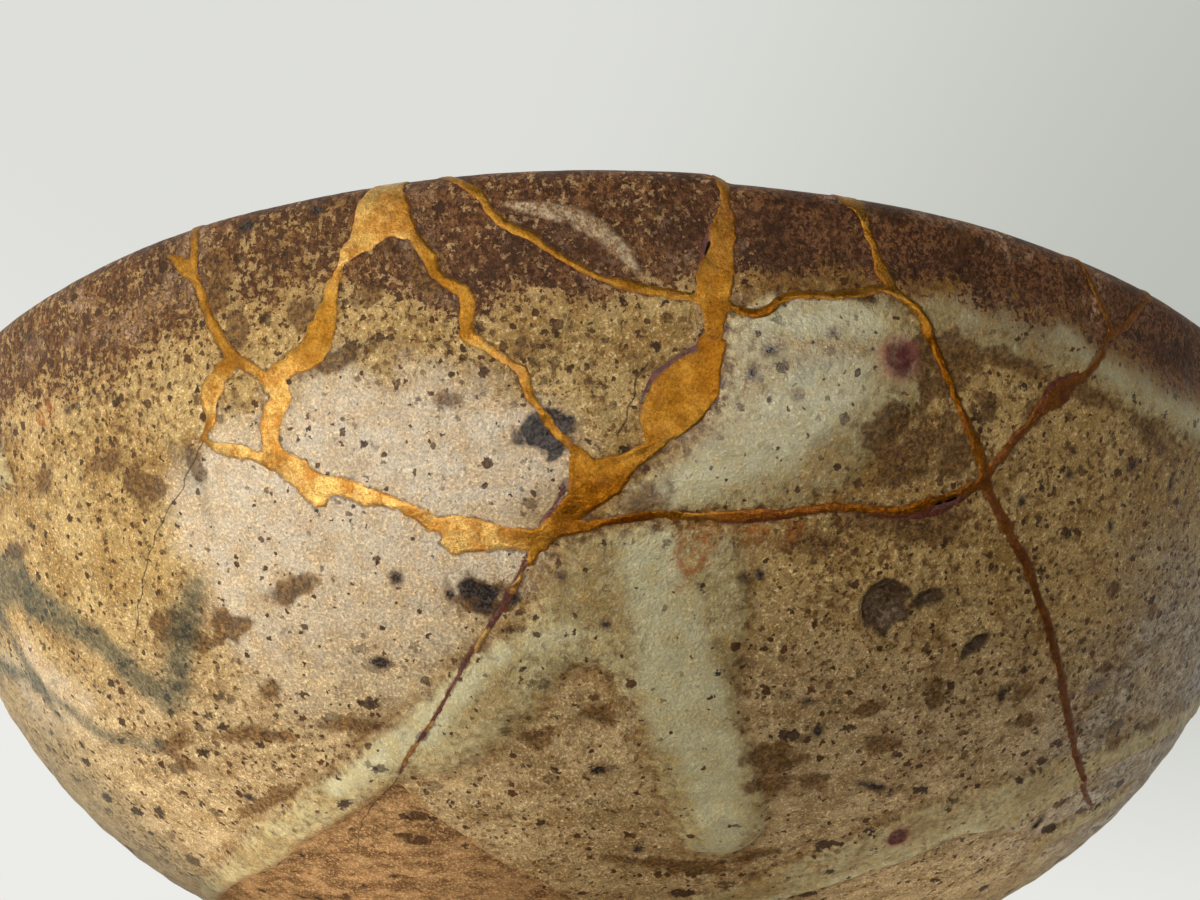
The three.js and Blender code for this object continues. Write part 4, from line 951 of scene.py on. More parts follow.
pieces = {}
cut_id = kind == 1
for name, spot in SPOTS.items():
    oc = component_at(out_pts, out_tri, out_comp, spot)
    ic = component_at(in_pts, in_tri, in_comp, spot)
    ot, it = out_tri[out_comp == oc], in_tri[in_comp == ic]
    faces = [ot[:, ::-1], weld[it]]
    e = boundary(ot)
    side = (e < NS).all(1)
    e = e[side]
    both_rim = (kind[e] == 2).all(1)
    foot = (kind[e] == 3).all(1)
    e = e[~both_rim & ~foot]
    a, b = e[:, 0], e[:, 1]
    a2, b2 = weld[a], weld[b]
    q1 = np.stack([a, b, b2], 1)[b2 != b]
    q2 = np.stack([a, b2, a2], 1)[a2 != a]
    faces += [q1, q2]
    if name == "bowl_body":
        faces.append(foot_faces)
    faces = np.vstack([f for f in faces if len(f)])
    sharp = np.vstack([e, np.stack([weld[e[:, 0]], weld[e[:, 1]]], 1)])
    sharp = sharp[sharp[:, 0] != sharp[:, 1]]
    ob = make_object("vis_" + name, all_co, faces, all_z, sharp)
    pieces[name] = ob
    print("piece", name, "triangles", len(ob.data.polygons))

# ------------------------------------------------------------------ gold
gold_chains = []
for closed, chain in contours(WHOLE, 0.0):
    if len(chain) >= 10:
        gold_chains.append((closed, resample(chain, closed, 0.15)))
gshared, gkind, gedges = [], [], []
for closed, c in gold_chains:
    if not closed:
        for k in (0, -1):
            c[k] *= RHO_OUT / np.hypot(*c[k])
    n0 = len(gshared)
    gshared.extend(c.tolist())
    gkind.extend([1] * len(c))
    if not closed:
        gkind[n0] = gkind[-1] = 2
    ids = list(range(n0, n0 + len(c)))
    gedges += list(zip(ids[:-1], ids[1:])) + ([(ids[-1], ids[0])] if closed else [])
_ra = np.arange(TH0, TH1, 0.09)
_ra = _ra[look_up(WHOLE, _ra, LTOP + 1e-4) < -0.05]
gshared.extend(to_disc(_ra, LTOP).tolist())
gkind.extend([2] * len(_ra))
gshared, gkind = np.array(gshared), np.array(gkind)
g = lattice(0.145)[:, :2]
g = g[(np.hypot(g[:, 0], g[:, 1]) > RHO_IN + LTOT - 42)]
_th, _l = from_disc(g)
_f = look_up(WHOLE, _th, _l)
g = g[(_f < -0.07) & (_l > LTOP + 0.1)]
g_pts, g_tri = triangulate(np.vstack([gshared, g]), gedges)
_cen = g_pts[g_tri].mean(1)
_th, _l = from_disc(_cen)
g_tri = g_tri[(look_up(WHOLE, _th, np.maximum(_l, LTOP)) < 0) & (_l < 42)]
_comp = components(g_tri, len(g_pts))
_main = np.bincount(_comp).argmax()
_sizes = np.bincount(_comp)
g_tri = g_tri[_sizes[_comp] > 60]
g_th, g_l = from_disc(g_pts)
g_l = np.maximum(g_l, LTOP)
gf = -look_up(WHOLE, g_th, g_l)
gf[: len(gkind)] = np.where(gkind == 1, 0.0, np.maximum(gf[: len(gkind)], 0))
gg = -look_up(GOLD, g_th, g_l)


def gold_face(side):
    p, n, h = base_height(g_th, g_l, side)
    d = np.clip(gf, 0, 3)
    rise = -0.025 + 0.10 * (1 - np.exp(-d / 0.06))
    broad = sstep(d, 0.15, 0.8)
    lump = 0.022 * noise(p, 1.6, 60) + 0.017 * noise(p, 0.7, 61) + 0.011 * noise(p, 0.35, 62)
    wave = 0.03 * broad * noise(p, 2.6, 63)
    bead = 0.012 * np.exp(-((d - 0.13) / 0.08) ** 2) * (0.5 + 0.5 * noise(p, 1.3, 64))
    lac = sstep(-gg, -0.02, 0.08)
    rise = rise + (lump + wave + bead) * sstep(d, 0.0, 0.15)
    rise = rise * (1 - 0.72 * lac) - 0.0 * lac
    q = p + n * (h + rise)[:, None]
    q[:, 2] += rim_lift(g_th, g_l)
    return q, n, h, p, lac


gq_out, gn_out, gh_out, gp_out, g_lac = gold_face("out")
gq_in, gn_in, gh_in, gp_in, _ = gold_face("in")
NG = len(g_pts)
grim = np.nonzero(np.concatenate([gkind == 2, np.zeros(NG - len(gkind), bool)]))[0]
gq_in[grim] = gq_out[grim]
gweld = np.arange(NG) + NG
gweld[grim] = grim
gb = boundary(g_tri)
gb = gb[~((np.isin(gb, grim)).all(1))]
ring_ids = np.unique(gb)
# the stem under the face, drawn in from the edge
_e = 0.05
_gx = look_up(WHOLE, *from_disc(g_pts[ring_ids] + [_e, 0])) - look_up(WHOLE, *from_disc(g_pts[ring_ids] - [_e, 0]))
_gy = look_up(WHOLE, *from_disc(g_pts[ring_ids] + [0, _e])) - look_up(WHOLE, *from_disc(g_pts[ring_ids] - [0, _e]))
_gn = np.hypot(_gx, _gy) + 1e-9
_mv = np.stack([-_gx / _gn, -_gy / _gn], 1) * 0.11
_mv[np.isin(ring_ids, grim)] *= 0
_st, _sl = from_disc(g_pts[ring_ids] + _mv)
_sl = np.maximum(_sl, LTOP)
stem_out = base_height(_st, _sl, "out")
stem_in = base_height(_st, _sl, "in")
s_out = stem_out[0] + stem_out[1] * (stem_out[2] - 0.32)[:, None]
s_in = stem_in[0] + stem_in[1] * (stem_in[2] - 0.32)[:, None]
s_out[:, 2] += rim_lift(_st, _sl)
s_in[:, 2] += rim_lift(_st, _sl)
idx_out = {int(v): 2 * NG + k for k, v in enumerate(ring_ids)}
idx_in = {int(v): 2 * NG + len(ring_ids) + k for k, v in enumerate(ring_ids)}
rimset = set(grim.tolist())
sidef = []


def quad(a, b, c, d):
    for t in ((a, b, c), (a, c, d)):
        if len(set(t)) == 3:
            sidef.append(t)


for a, b in gb.tolist():
    so_a, so_b = (a if a in rimset else idx_out[a]), (b if b in rimset else idx_out[b])
    si_a, si_b = (a if a in rimset else idx_in[a]), (b if b in rimset else idx_in[b])
    ia, ib = int(gweld[a]), int(gweld[b])
    quad(a, b, so_b, so_a)
    quad(so_a, so_b, si_b, si_a)
    quad(si_a, si_b, ib, ia)
gold_co = np.vstack([gq_out, gq_in, s_out, s_in])
gold_faces = np.vstack([g_tri[:, ::-1], gweld[g_tri], np.array(sidef, int)])


def ring_attr(v):
    return np.concatenate([v, v, v[ring_ids], v[ring_ids]])


# Painted light and shade on the gold, carried by the tint attribute: lighter on the left seams and the top of the
# broad seam, darker on the right sherd's seams, round the delta and low on the left.
_painted_light = (1 - sstep(g_th, -5.5, -2.5)) * sstep(g_l, 9, 13) * (1 - 0.8 * (1 - sstep(g_th, -22, -20.5)))
_painted_shade = np.maximum(sstep(g_th, 3.5, 7.5) * sstep(g_l, 6, 10), np.exp(-(((g_th - 0.8) / 4.2) ** 2 + ((g_l - 21.2) / 3.0) ** 2)))
_painted_shade = np.maximum(_painted_shade, 0.9 * (1 - sstep(g_th, -23.5, -21.5)) * sstep(g_l, 11, 13))
_painted_top_light = sstep(g_th, -18, -16) * (1 - sstep(g_th, -10, -8)) * (1 - sstep(g_l, 5, 8)) * 0.8
g_painted_light_shade = np.clip(0.85 * np.maximum(_painted_light, _painted_top_light) - 0.95 * _painted_shade + 0.18 * noise(gp_out, 2.6, 71), -1, 1)
g_worn = np.clip(
    1.0 * sstep(g_th, 19.5, 22.5) * (0.85 + 0.15 * noise(gp_out, 2.2, 70))
    + 0.55 * sstep(noise(gp_out, 1.5, 71), 0.15, 0.7) * sstep(-g_th, 8, 13) * sstep(g_l, 12, 16)
    + 0.35 * sstep(noise(gp_out, 1.1, 72), 0.25, 0.8)
    + 0.7 * sstep(-(g_l - 7.0), -0.3, 1.8) * sstep(g_th, 4.5, 5) * (1 - sstep(g_th, 6.6, 7.4)) * 0.5
    + 0.45 * sstep(g_th, 2, 9) * sstep(g_l, 19.6, 20.6) * (1 - sstep(g_th, 20, 22)),
    0, 1)
g_edge = np.clip(gf, 0, 2)
gold = make_object(
    "vis_gold_seams", gold_co, gold_faces,
    {"lacquer": ring_attr(g_lac), "worn": ring_attr(g_worn), "edge": ring_attr(g_edge), "tint": ring_attr(g_painted_light_shade)},
    np.vstack([gb, np.stack([gweld[gb[:, 0]], gweld[gb[:, 1]]], 1)]),
)
print("piece gold triangles", len(gold.data.polygons))


# ------------------------------------------------------------------ materials
def lin(c, k=1.0):
    return tuple(((x / 255) / 12.92 if x / 255 <= 0.04045 else ((x / 255 + 0.055) / 1.055) ** 2.4) * k for x in c) + (1.0,)


class Graph:
    """Short words for building a node tree."""

    def __init__(self, name):
        self.mat = bpy.data.materials.new(name)
        self.mat.use_nodes = True
        self.tree = self.mat.node_tree
        self.tree.nodes.clear()
        self.out = self.tree.nodes.new("ShaderNodeOutputMaterial")
        self.bsdf = self.tree.nodes.new("ShaderNodeBsdfPrincipled")
        self.tree.links.new(self.bsdf.outputs[0], self.out.inputs[0])
        self.co = self.tree.nodes.new("ShaderNodeTexCoord").outputs["Object"]

    def put(self, socket, value):
        if isinstance(value, bpy.types.NodeSocket):
            self.tree.links.new(value, socket)
        elif value is not None:
            socket.default_value = value

    def math(self, op, a, b=None, c=None, clamp=False):
        n = self.tree.nodes.new("ShaderNodeMath")
        n.operation, n.use_clamp = op, clamp
        self.put(n.inputs[0], a)
        self.put(n.inputs[1], b)
        self.put(n.inputs[2], c)
        return n.outputs[0]

    def add(self, a, b):
        return self.math("ADD", a, b)

    def mul(self, a, b, clamp=False):
        return self.math("MULTIPLY", a, b, clamp=clamp)

    def mad(self, a, b, c):
        return self.math("MULTIPLY_ADD", a, b, c)

    def step(self, x, lo, hi, a=0.0, b=1.0):
        n = self.tree.nodes.new("ShaderNodeMapRange")
        n.interpolation_type = "SMOOTHSTEP"
        self.put(n.inputs[0], x)
        self.put(n.inputs[1], lo)
        self.put(n.inputs[2], hi)
        self.put(n.inputs[3], a)
        self.put(n.inputs[4], b)
        return n.outputs[0]

    def ramp(self, x, lo, hi, a=0.0, b=1.0):
        n = self.tree.nodes.new("ShaderNodeMapRange")
        self.put(n.inputs[0], x)
        self.put(n.inputs[1], lo)
        self.put(n.inputs[2], hi)
        self.put(n.inputs[3], a)
        self.put(n.inputs[4], b)
        return n.outputs[0]

    def mix(self, fac, a, b, mode="MIX"):
        n = self.tree.nodes.new("ShaderNodeMix")
        n.data_type, n.blend_type = "RGBA", mode
        n.clamp_factor = True
        self.put(n.inputs[0], fac)
        self.put(n.inputs[6], a)
        self.put(n.inputs[7], b)
        return n.outputs[2]

    def attr(self, name):
        n = self.tree.nodes.new("ShaderNodeAttribute")
        n.attribute_name = name
        return n.outputs["Fac"]

    def scaled(self, vec, k):
        n = self.tree.nodes.new("ShaderNodeVectorMath")
        n.operation = "MULTIPLY"
        self.put(n.inputs[0], vec)
        n.inputs[1].default_value = k
        return n.outputs[0]

    def noise(self, mm, detail=2.0, rough=0.5, vec=None, distort=0.0):
        n = self.tree.nodes.new("ShaderNodeTexNoise")
        self.put(n.inputs["Vector"], vec or self.co)
        n.inputs["Scale"].default_value = 1000.0 / mm
        n.inputs["Detail"].default_value = detail
        n.inputs["Roughness"].default_value = rough
        n.inputs["Distortion"].default_value = distort
        return n.outputs["Fac"]

    def warp(self, mm, amount):
        """The place, pushed about by noise of that size, by about that many mm."""
        n = self.tree.nodes.new("ShaderNodeTexNoise")
        self.put(n.inputs["Vector"], self.co)
        n.inputs["Scale"].default_value = 1000.0 / mm
        n.inputs["Detail"].default_value = 2.0
        m = self.tree.nodes.new("ShaderNodeVectorMath")
        m.operation = "MULTIPLY_ADD"
        self.put(m.inputs[0], n.outputs["Color"])
        k = amount * 0.001 * 4
        m.inputs[1].default_value = (k, k, k)
        self.put(m.inputs[2], self.co)
        return m.outputs[0]

    def cells(self, mm, vec=None, feature="F1"):
        n = self.tree.nodes.new("ShaderNodeTexVoronoi")
        n.feature = feature
        self.put(n.inputs["Vector"], vec or self.co)
        n.inputs["Scale"].default_value = 1000.0 / mm
        return n.outputs["Distance"], (n.outputs["Color"] if feature == "F1" else None)

    def split(self, colour):
        n = self.tree.nodes.new("ShaderNodeSeparateColor")
        self.put(n.inputs[0], colour)
        return n.outputs[0], n.outputs[1], n.outputs[2]

    def bump(self, height, mm, strength=1.0, normal=None):
        n = self.tree.nodes.new("ShaderNodeBump")
        self.put(n.inputs["Height"], height)
        n.inputs["Distance"].default_value = mm * 0.001
        n.inputs["Strength"].default_value = strength
        if normal is not None:
            self.put(n.inputs["Normal"], normal)
        return n.outputs[0]


def glaze_material():
    g = Graph("stoneware_glaze")
    a = {k: g.attr(k) for k in MASKS}
    bent = g.warp(0.5, 0.16)
    flat = g.scaled(bent, (0.36, 0.36, 1.0))
    n12 = g.noise(12, 3, 0.55)
    n4 = g.noise(4.0, 4, 0.6)
    n15 = g.noise(1.5, 4, 0.62)
    n07 = g.noise(0.75, 4, 0.68)
    n05 = g.noise(0.5, 3, 0.62)
    n03 = g.noise(0.34, 3, 0.7)
    n02 = g.noise(0.21, 2, 0.6)
    grain = g.noise(0.12, 2, 0.7)
    streak = g.noise(1.0, 4, 0.66, flat)
    notlow = g.math("SUBTRACT", 1.0, a["low"])

    # tan glaze
    tan = g.mix(g.step(n4, 0.38, 0.62), lin((190, 158, 100)), lin((158, 122, 64)))
    tan = g.mix(g.mul(g.step(n12, 0.48, 0.66), 0.5), tan, lin((184, 148, 86)))
    tan = g.mix(g.mul(g.step(n15, 0.54, 0.7), 0.5), tan, lin((122, 82, 34)))
    # pink patch colours: pinkish glaze with a painted sheen in the lighter shade
    pink_and_sheen_c = g.mix(g.step(n15, 0.38, 0.62), lin((222, 204, 178)), lin((194, 168, 134)))
    tan = g.mix(g.mul(a["pink_and_sheen"], 0.9), tan, pink_and_sheen_c)
    low = g.mix(g.step(streak, 0.40, 0.62), lin((186, 160, 118)), lin((148, 120, 80)))
    tan = g.mix(g.mul(a["low"], 0.75), tan, low)
    # painted sheen: grey reflection colour over the lower right
    painted_sheen_c = g.mix(g.step(streak, 0.38, 0.62), lin((176, 172, 162)), lin((118, 106, 86)))
    tan = g.mix(g.mul(a["painted_sheen"], 0.7), tan, painted_sheen_c)
    # fine pale grains, then brown mottle through the tan
    tan = g.mix(g.mul(g.step(n02, 0.54, 0.66), 0.5), tan, lin((222, 202, 158)))
    few = g.math("MULTIPLY", a["pink_and_sheen"], 0.045)
    thr = g.math("ADD", g.ramp(a["dense"], 0, 1, 0.62, 0.525), few)
    mot = g.mad(n05, 0.62, g.mul(n02, 0.38))
    brown_on = g.step(g.math("SUBTRACT", mot, thr), -0.01, 0.025)
    brown_c = g.mix(g.step(n03, 0.42, 0.6), lin((84, 52, 20)), lin((122, 84, 38)))
    tan = g.mix(g.mul(brown_on, g.ramp(a["pink_and_sheen"], 0, 1, 0.85, 0.6)), tan, brown_c)

    # pale glaze: cloudy where thick, tan and mottled where thin; the white also paints a sheen along the stripe's
    # upper edge
    thick_glaze_and_sheen = g.step(g.add(a["white_and_sheen"], g.mad(n4, 1.6, -0.8)), 0.10, 0.95)
    pale_c = g.mix(g.step(n4, 0.38, 0.64), lin((184, 168, 120)), lin((156, 132, 80)))
    pale_c = g.mix(g.mul(g.step(n15, 0.5, 0.68), 0.55), pale_c, lin((156, 122, 66)))
    pale_c = g.mix(g.mul(g.step(mot, 0.50, 0.55), 0.55), pale_c, lin((120, 88, 42)))
    white_and_sheen_c = g.mix(g.step(n15, 0.40, 0.66), lin((206, 198, 158)), lin((180, 166, 120)))
    pale_c = g.mix(g.mul(thick_glaze_and_sheen, 0.8), pale_c, white_and_sheen_c)
    pale_c = g.mix(g.mul(g.step(n02, 0.54, 0.66), 0.22), pale_c, lin((232, 228, 204)))
    pd = g.add(a["pale"], g.mad(n07, 1.9, -0.95))
    pd = g.add(pd, g.mad(n03, 0.8, -0.4))
    pd = g.add(pd, g.mad(n15, 1.4, -0.7))
    fringe = g.mul(g.step(pd, -1.4, -0.2), g.step(pd, 0.9, 0.0))
    fringe = g.mul(fringe, g.step(mot, 0.43, 0.50))
    pale_on = g.step(pd, -0.45, 0.85)
    fr_c = g.mix(g.step(n07, 0.4, 0.6), lin((88, 54, 14)), lin((130, 92, 34)))
    colour = g.mix(g.mul(fringe, g.ramp(a["low"], 0, 1, 0.85, 0.5)), tan, fr_c)
    colour = g.mix(pale_on, colour, pale_c)

    # the dark band under the rim: a stipple that thins out downwards
    bd = g.add(a["band"], g.mad(n15, 1.8, -0.9))
    top = g.ramp(a["tone"], 0, 1, 0.478, 0.405)
    share = g.step(bd, -2.6, 2.0)
    thr = g.math("ADD", g.mul(g.math("SUBTRACT", 1.0, share), 0.68), g.mul(share, top))
    dark_on = g.step(g.math("SUBTRACT", mot, thr), -0.015, 0.03)
    band_c = g.mix(g.step(n03, 0.42, 0.6), lin((68, 37, 17)), lin((126, 84, 52)))
    band_c = g.mix(g.mul(g.step(n4, 0.5, 0.66), 0.6), band_c, lin((42, 20, 8)))
    band_l = g.mix(g.step(n03, 0.42, 0.6), lin((72, 42, 16)), lin((104, 68, 30)))
    band_c = g.mix(a["tone"], band_l, band_c)
    under_l = g.mix(g.step(n15, 0.4, 0.62), lin((172, 140, 84)), lin((134, 98, 48)))
    under_d = g.mix(g.step(n15, 0.4, 0.62), lin((196, 154, 112)), lin((142, 100, 64)))
    under = g.mix(g.step(bd, -0.6, 1.8), colour, g.mix(a["tone"], under_l, under_d))
    under = g.mix(g.mul(g.mul(g.step(n02, 0.56, 0.68), g.step(bd, -0.5, 1.0)), 0.5), under, lin((214, 186, 140)))
    gilt = g.mul(g.mul(g.step(bd, -2.4, 0.2), g.step(a["tone"], 0.75, 1.0)), 0.8)
    under = g.mix(gilt, under, g.mix(g.step(n03, 0.42, 0.6), lin((134, 92, 34)), lin((98, 60, 20))))
    colour = g.mix(dark_on, under, band_c)
    blot = g.mul(g.step(bd, 0.2, 3.2), g.step(n4, 0.46, 0.62))
    colour = g.mix(g.mul(blot, g.ramp(a["tone"], 0, 1, 0.30, 0.62)), colour, lin((60, 32, 16)))
    # painted highlights: pale salmon flecks in the dark band
    painted_gleam = g.mul(g.mul(g.step(bd, 0.3, 2.2), g.step(g.noise(5.0, 3, 0.6), 0.54, 0.68)), g.step(n05, 0.46, 0.58))
    colour = g.mix(g.mul(painted_gleam, 0.55), colour, lin((204, 166, 132)))

    # iron specks of several sizes
    def specks(colour, mm, lo, hi, share, tint, vec=None, warped=None):
        dist, rnd = g.cells(mm, vec or warped or bent)
        r1, r2, r3 = g.split(rnd)
        rad = g.mad(g.math("POWER", r1, 1.6), hi - lo, lo)
        d = g.add(dist, g.mad(n03, 0.30, -0.15))
        d = g.add(d, g.mad(n02, 0.16, -0.08))
        on = g.step(g.math("SUBTRACT", rad, d), -0.025, 0.04)
        on = g.mul(on, g.math("LESS_THAN", r2, share))
        tone = g.mix(g.step(r3, 0.35, 0.95), tint, g.mix(0.5, colour, tint))
        return g.mix(g.mul(on, 0.95), colour, tone), on

    many = g.ramp(a["dense"], 0, 1, 0.35, 0.95)
    clear = g.math("SUBTRACT", 1.0, g.mul(pale_on, 0.65))
    many = g.mul(many, clear)
    big = g.mul(many, g.mad(a["pink_and_sheen"], -0.85, 1.0))
    colour, s0 = specks(colour, 1.1, 0.10, 0.36, big, lin((76, 46, 18)))
    colour, s1 = specks(colour, 0.62, 0.13, 0.38, many, lin((70, 44, 20)))
    colour, s2 = specks(colour, 1.9, 0.06, 0.24, big, lin((60, 38, 18)))
    colour, s3 = specks(colour, 4.2, 0.03, 0.12, g.mul(clear, 0.5), lin((40, 29, 20)))
    dashes, s4 = specks(colour, 1.25, 0.10, 0.36, many, lin((64, 44, 26)), flat)
    colour = g.mix(a["low"], colour, dashes)
    halo = g.mul(g.step(g.noise(2.2, 3, 0.6), 0.60, 0.70), g.ramp(a["dense"], 0, 1, 0.0, 0.55))
    colour = g.mix(g.mul(halo, g.step(n05, 0.42, 0.56)), colour, lin((112, 74, 32)))

    # stains, marks and coloured spots
    st = g.add(a["stain"], g.mad(n07, 1.4, -0.7))
    colour = g.mix(g.mul(g.step(st, -0.42, 0.12), 0.88), colour, g.mix(g.step(n03, 0.42, 0.6), lin((78, 50, 22)), lin((128, 92, 46))))
    zig = g.mul(a["grey"], g.ramp(n05, 0.38, 0.62, 0.75, 1.0))
    colour = g.mix(g.mul(zig, 0.92), colour, g.mix(g.step(n03, 0.42, 0.6), lin((48, 54, 44)), lin((88, 88, 68))))
    colour = g.mix(g.mul(a["orange"], g.ramp(n05, 0.4, 0.6, 0.0, 0.7)), colour, lin((164, 92, 28)))
    colour = g.mix(g.mul(a["purple"], 0.5), colour, lin((96, 76, 78)))
    cr = g.mul(a["crimson"], g.ramp(n05, 0.35, 0.65, 0.8, 1.0))
    colour = g.mix(cr, colour, g.mix(g.step(a["crimson"], 0.5, 0.95), lin((150, 74, 66)), lin((84, 20, 26))))
    cs = g.add(a["crescent"], g.mad(n07, 0.6, -0.3))
    colour = g.mix(g.mul(g.step(cs, -0.12, 0.30), 0.72), colour, g.mix(g.step(n03, 0.42, 0.6), lin((206, 182, 146)), lin((140, 104, 70))))
    dt = g.add(a["dots"], g.mad(n03, 0.5, -0.25))
    dt = g.add(dt, g.mad(n07, 0.5, -0.25))
    colour = g.mix(g.mul(g.step(dt, -0.45, 0.0), 0.6), colour, lin((84, 56, 32)))
    colour = g.mix(g.mul(g.step(dt, -0.12, 0.12), 0.96), colour, g.mix(g.step(n02, 0.45, 0.6), lin((30, 25, 24)), lin((70, 58, 50))))
    pt = g.add(a["pit"], g.mad(n07, 0.5, -0.25))
    pit_c = g.mix(g.step(n03, 0.42, 0.62), lin((70, 50, 34)), lin((120, 100, 76)))
    pit_c = g.mix(g.step(pt, 0.55, 0.05), pit_c, lin((58, 38, 26)))
    colour = g.mix(g.mul(g.step(pt, -0.2, 0.15), 0.92), colour, pit_c)

    # bare clay
    lines = g.scaled(g.warp(0.9, 0.12), (0.22, 0.22, 1.0))
    clay_n = g.noise(0.62, 4, 0.7, lines)
    clay_c = g.mix(g.step(clay_n, 0.38, 0.62), lin((106, 76, 46)), lin((160, 124, 82)))
    clay_c = g.mix(g.mul(g.step(n15, 0.5, 0.7), 0.4), clay_c, lin((112, 78, 46)))
    clay_c = g.mix(g.mul(g.step(n02, 0.53, 0.66), 0.55), clay_c, lin((184, 148, 104)))
    dd, rr = g.cells(0.9, lines)
    d1, d2, d3 = g.split(rr)
    dash = g.mul(g.step(g.math("SUBTRACT", g.mad(d1, 0.30, 0.04), g.add(dd, g.mad(n03, 0.2, -0.1))), -0.03, 0.03), g.math("LESS_THAN", d2, 0.6))
    clay_c = g.mix(g.mul(dash, 0.85), clay_c, lin((70, 48, 30)))
    clay_c = g.mix(g.mul(s2, 0.8), clay_c, lin((50, 36, 26)))
    cl = g.add(a["clay"], g.mad(n07, 0.3, -0.15))
    rimline = g.mul(g.step(cl, -0.75, -0.1), g.step(cl, 0.1, -0.1))
    colour = g.mix(g.mul(rimline, 0.45), colour, lin((140, 100, 52)))
    clay_on = g.step(cl, -0.06, 0.1)
    colour = g.mix(clay_on, colour, clay_c)

    # fine value grain over everything
    shade = g.ramp(grain, 0.32, 0.68, 0.74, 1.26)
    shade = g.mul(shade, g.ramp(n02, 0.3, 0.7, 0.72, 1.24))
    calm = g.mul(pale_on, 0.6)
    shade = g.add(g.mul(shade, g.math("SUBTRACT", 1.0, calm)), calm)
    shade = g.mul(shade, g.ramp(n07, 0.32, 0.68, 0.84, 1.14))
    shade = g.mul(shade, g.ramp(n15, 0.34, 0.66, 0.88, 1.10))
    colour = g.mix(1.0, colour, g_col(g, shade), "MULTIPLY")

    # a broken dark line beside the gold, and hairlines
    beside = g.mul(g.step(g.add(a["gold"], g.mad(n07, 0.9, -0.45)), 0.12, -0.06), 0.6)
    colour = g.mix(beside, colour, lin((72, 36, 18)))
    hw = g.math("ABSOLUTE", a["hair"])
    hw = g.add(hw, g.mad(n03, 0.12, -0.06))
    hair_on = g.mul(g.step(hw, 0.065, 0.02), g.ramp(a["hair_on"], 0, 0.5, 0, 0.72))
    colour = g.mix(hair_on, colour, lin((58, 44, 34)))
    g.put(g.bsdf.inputs["Base Color"], colour)

    # gloss
    rough = g.mad(n15, 0.24, 0.24)
    rough = g.mad(g.step(bd, -0.5, 1.5), 0.10, rough)
    rough = g.mad(a["low"], 0.08, rough)
    rough = g.mad(a["wet"], -0.24, rough)
    rough = g.math("MAXIMUM", rough, 0.09)
    rough = g.math("MAXIMUM", rough, g.mul(clay_on, 0.84))
    g.put(g.bsdf.inputs["Roughness"], rough)
    g.bsdf.inputs["IOR"].default_value = 1.5
    shine = g.mad(a["wet"], 0.55, 0.13)
    shine = g.mad(pale_on, 0.08, shine)
    g.put(g.bsdf.inputs["Specular IOR Level"], g.mul(shine, g.mad(clay_on, -0.8, 1.0)))

    # surface: sandy grain, pinholes, trimming lines on the clay
    height = g.mad(n07, 0.42, g.mul(n15, 0.35))
    height = g.mad(n03, 0.60, height)
    fine = g.mad(n02, 0.42, g.mul(grain, 0.20))
    fine = g.mul(fine, g.mad(a["wet"], -0.75, 1.0))
    height = g.add(fine, height)
    height = g.mad(s2, -0.22, height)
    height = g.mad(s4, g.mul(a["low"], -0.35), height)
    height = g.mad(dark_on, 0.08, height)
    height = g.mad(hair_on, -0.4, height)
    height = g.mad(pale_on, 0.12, height)
    height = g.mad(g.mul(a["painted_sheen"], streak), 0.9, height)
    clay_h = g.mad(clay_n, 1.3, g.mad(n03, 0.6, g.mul(grain, 0.5)))
    clay_h = g.mad(dash, -0.4, clay_h)
    n = g.tree.nodes.new("ShaderNodeMix")
    g.put(n.inputs[0], clay_on)
    g.put(n.inputs[2], height)
    g.put(n.inputs[3], clay_h)
    g.put(g.bsdf.inputs["Normal"], g.bump(n.outputs[0], 0.20, 1.0))
    return g.mat


def g_col(g, value):
    n = g.tree.nodes.new("ShaderNodeCombineColor")
    for k in range(3):
        g.put(n.inputs[k], value)
    return n.outputs[0]


